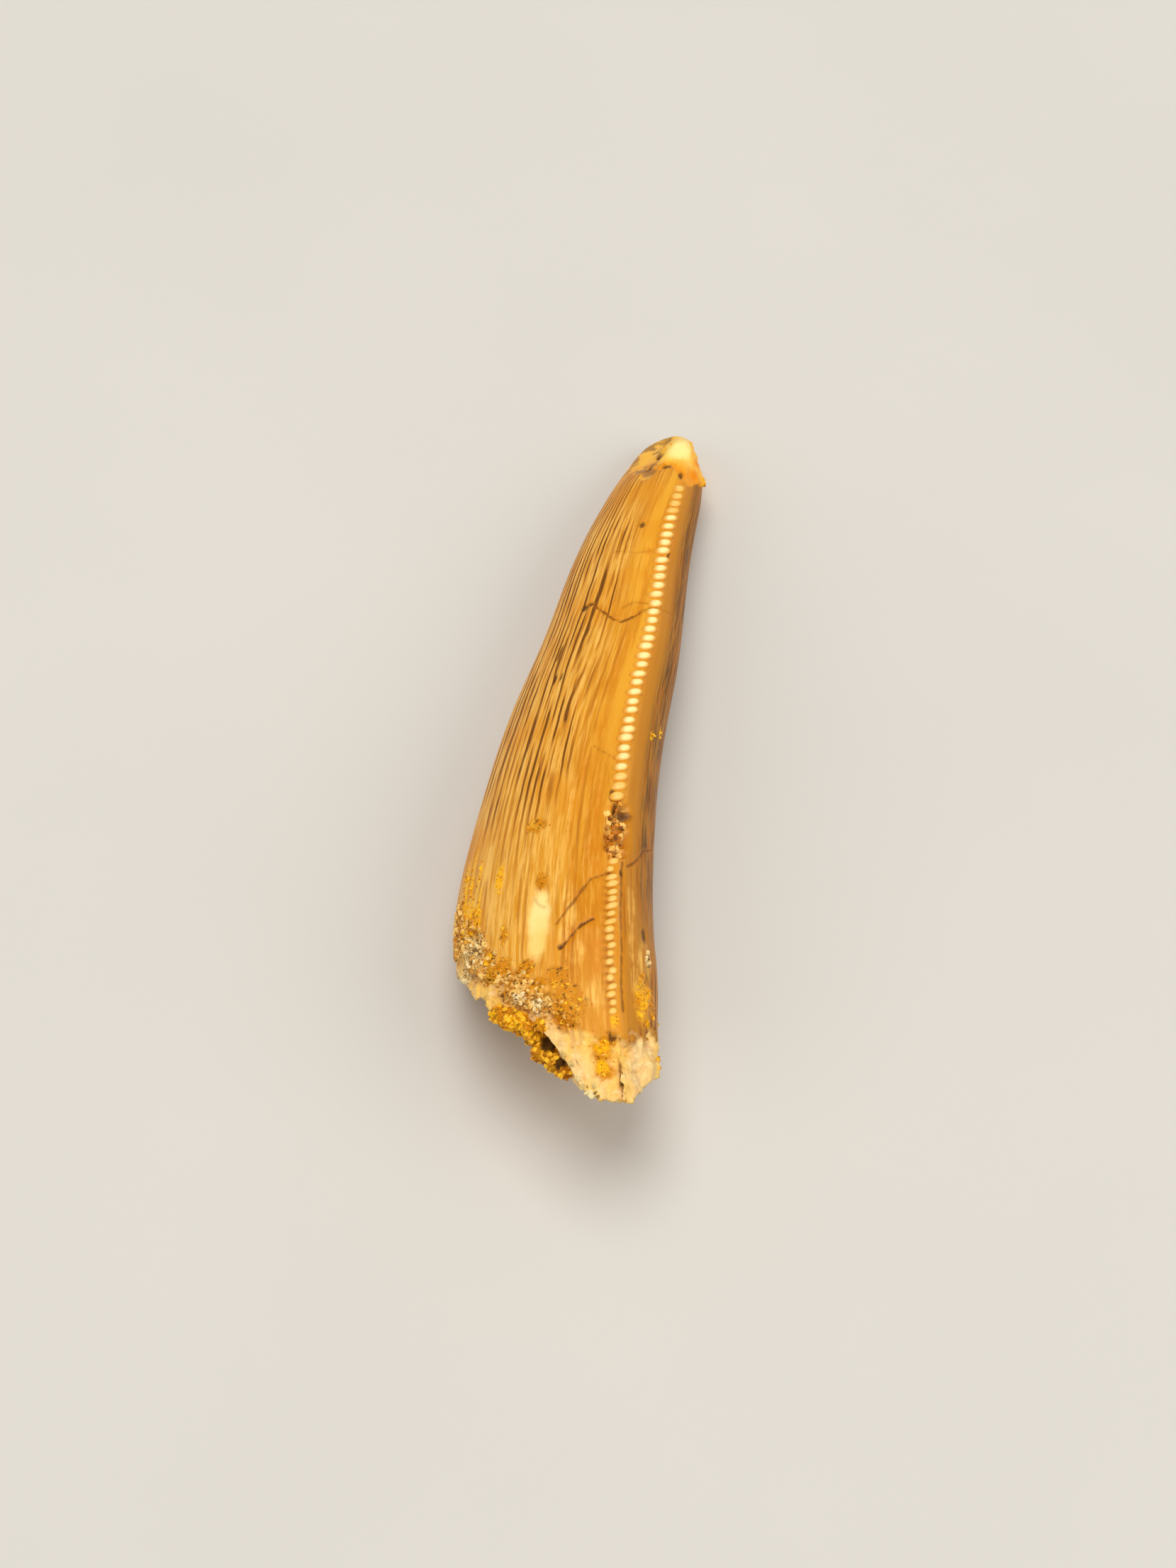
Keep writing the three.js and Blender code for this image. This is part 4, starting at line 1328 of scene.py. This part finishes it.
def sediment_mesh():
    """The fill of the hollow with the lumps that spill over its left edge, in one rough skin."""
    mesh = one_skin([fill_part(), *lump_parts()])
    places = np.empty(len(mesh.vertices) * 3)
    normals = np.empty_like(places)
    mesh.vertices.foreach_get("co", places)
    mesh.vertex_normals.foreach_get("vector", normals)
    places = places.reshape(-1, 3) / MM
    rough = CLOD_DEPTH * texture("clods", places) + CRUMB_DEPTH * texture("crumbs", places)
    places = places + normals.reshape(-1, 3) * rough[:, None]
    places[:, 2] = np.maximum(places[:, 2], SEDIMENT_FLOOR)
    mesh.vertices.foreach_set("co", (places * MM).ravel())
    mesh.polygons.foreach_set("use_smooth", [True] * len(mesh.polygons))

    from_tip = TIP_Y - places[:, 1]
    # Painted shade, kept as a mark: half on the lower lumps, full in the pits.
    pit = LOW_LUMPS_SHADE * rising("low_pit", from_tip - LOW_LUMPS_FROM) * rising("high_pit", places[:, 2])
    for middle, (_, _, _, radius) in zip(middles(SHADED_PITS), SHADED_PITS):
        away = np.linalg.norm(places - middle, axis=1) + PIT_STRAY * rough
        pit = np.maximum(pit, 1 - smooth(away, PIT_CORE * radius, radius))
    away = ((places[:, None, :] - middles(SEDIMENT_LUMPS)[None]) ** 2).sum(-1)
    near_lump = np.exp(-away / LUMP_GRAINS_AREA).max(axis=1)
    grains = np.clip(FEWEST_GRAINS + near_lump, 0, 1) * (from_tip > GRAINS_FROM)
    grains = grains * np.clip(PIT_GRAINS["full"] - PIT_GRAINS["loss"] * pit, 0, 1)
    add_mark(mesh, "pit", pit)
    add_mark(mesh, "grains", grains)
    return mesh


def grain_beds(skin, sediment):
    """The mesh that each piece of loose grains lies on, with its share of grains."""
    names = ("chip", "dark", "crust", "sugar", "yellow", "ochre", "rim")
    marks = {name: mark_values(skin, name) for name in names}
    shares = {
        "chip_crumbs": marks["chip"] * (1 - marks["dark"]),
        "crust_grains": rising("crust_grains", marks["crust"]),
        "sugar_grains": marks["sugar"],
        "clay_grains": np.clip(sum(share * marks[name] for name, share in CLAY_SHARES.items()), 0, 1),
        "rim_crystals": marks["rim"],
    }
    beds = {"sediment_grains": sediment.copy()}
    for name, share in shares.items():
        beds[name] = skin.copy()
        add_mark(beds[name], "grains", share)
    return beds


def put(piece, slot, *nodes):
    """Puts a finished piece under the root body and hides the imported parts that it stands for."""
    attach(piece, "root")
    if nodes:
        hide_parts(*nodes)


def build_fossil():
    skin = tooth_mesh()
    tooth = show("tooth_crown", skin, enamel_finish())
    saw = made_by(saw_rule(), "saw_teeth", saw_points(), {**SAW_BEAD, "Finish": saw_tooth_finish()})
    sediment = show("sediment_fill", sediment_mesh(), sediment_finish())
    put(tooth, "enamel", "tooth")
    put(saw, "enamel")
    put(sediment, "sediment", "sediment")
    scatter = grain_rule()
    finishes = {name: grain_finish(name, *tones) for name, tones in GRAIN_TONES.items()}
    beds = grain_beds(skin, sediment.data)
    for grains in GRAIN_PIECES:
        piece = made_by(scatter, grains["name"], beds[grains["name"]], {
            "Spacing": grains["spacing"] * MM, "Most": grains["most"], "Smallest": grains["smallest"] * MM,
            "Largest": grains["largest"] * MM, "Roundness": grains["roundness"], "Seed": grains["seed"],
            "Finish": finishes[grains["finish"]],
        })
        put(piece, grains["slot"])


def build_floor():
    corners = [(x * FLOOR_HALF, y * FLOOR_HALF, 0.0) for x, y in ((-1, -1), (1, -1), (1, 1), (-1, 1))]
    mesh = bpy.data.meshes.new("floor")
    mesh.from_pydata(corners, [], [(0, 1, 2, 3)])
    finish = Finish("pale_floor", FLOOR_PATTERNS)
    clouds = finish.value("clouds")
    colour = finish.coated(FLOOR_COATS)
    show("floor", mesh, finish.surface(colour, 0.7 + 0.1 * clouds, clouds, BUMP["floor"], {}))


def build_lights():
    for light in LIGHTS:
        data = bpy.data.lights.new(light["name"], "AREA")
        data.shape = "DISK"
        data.size = light["size"] * MM
        data.energy = light["watts"]
        data.color = LIGHT_COLOUR
        lamp = bpy.data.objects.new(light["name"], data)
        lamp.location = Vector(light["at"]) * MM
        lamp.visible_camera = False
        lamp.rotation_mode = "QUATERNION"
        lamp.rotation_quaternion = (-lamp.location).to_track_quat("-Z", "Y")
        bpy.context.scene.collection.objects.link(lamp)
    world = bpy.data.worlds.new("studio")
    world.use_nodes = True
    background = world.node_tree.nodes["Background"]
    background.inputs["Color"].default_value = tone(*WORLD_TONE)
    background.inputs["Strength"].default_value = WORLD_STRENGTH
    bpy.context.scene.world = world
    bpy.context.scene.view_settings.view_transform = "Standard"


def build_camera():
    half_view = math.tan(math.radians(CAMERA_VIEW / 2))
    data = bpy.data.cameras.new("camera")
    data.lens = data.sensor_width / 2 / half_view
    data.clip_start = CLIP_START
    camera = bpy.data.objects.new("camera", data)
    bpy.context.scene.collection.objects.link(camera)
    azimuth = math.radians(CAMERA_AZIMUTH)
    elevation = math.radians(CAMERA_ELEVATION)
    level = math.cos(elevation)
    back = Vector((math.sin(azimuth) * level, -math.cos(azimuth) * level, math.sin(elevation)))
    turn = (-back).to_track_quat("-Z", "Y")
    pixel = 2 * CAMERA_DISTANCE * half_view / PHOTO_SIZE[1]
    aside = turn @ Vector((PHOTO_SIZE[0] / 2 - AIM_PIXEL[0], AIM_PIXEL[1] - PHOTO_SIZE[1] / 2, 0)) * pixel
    camera.rotation_mode = "QUATERNION"
    camera.rotation_quaternion = turn
    camera.location = (Vector(CAMERA_AIM) + back * CAMERA_DISTANCE + aside) * MM
    bpy.context.scene.camera = camera


build_camera()
build_lights()
build_floor()
build_fossil()
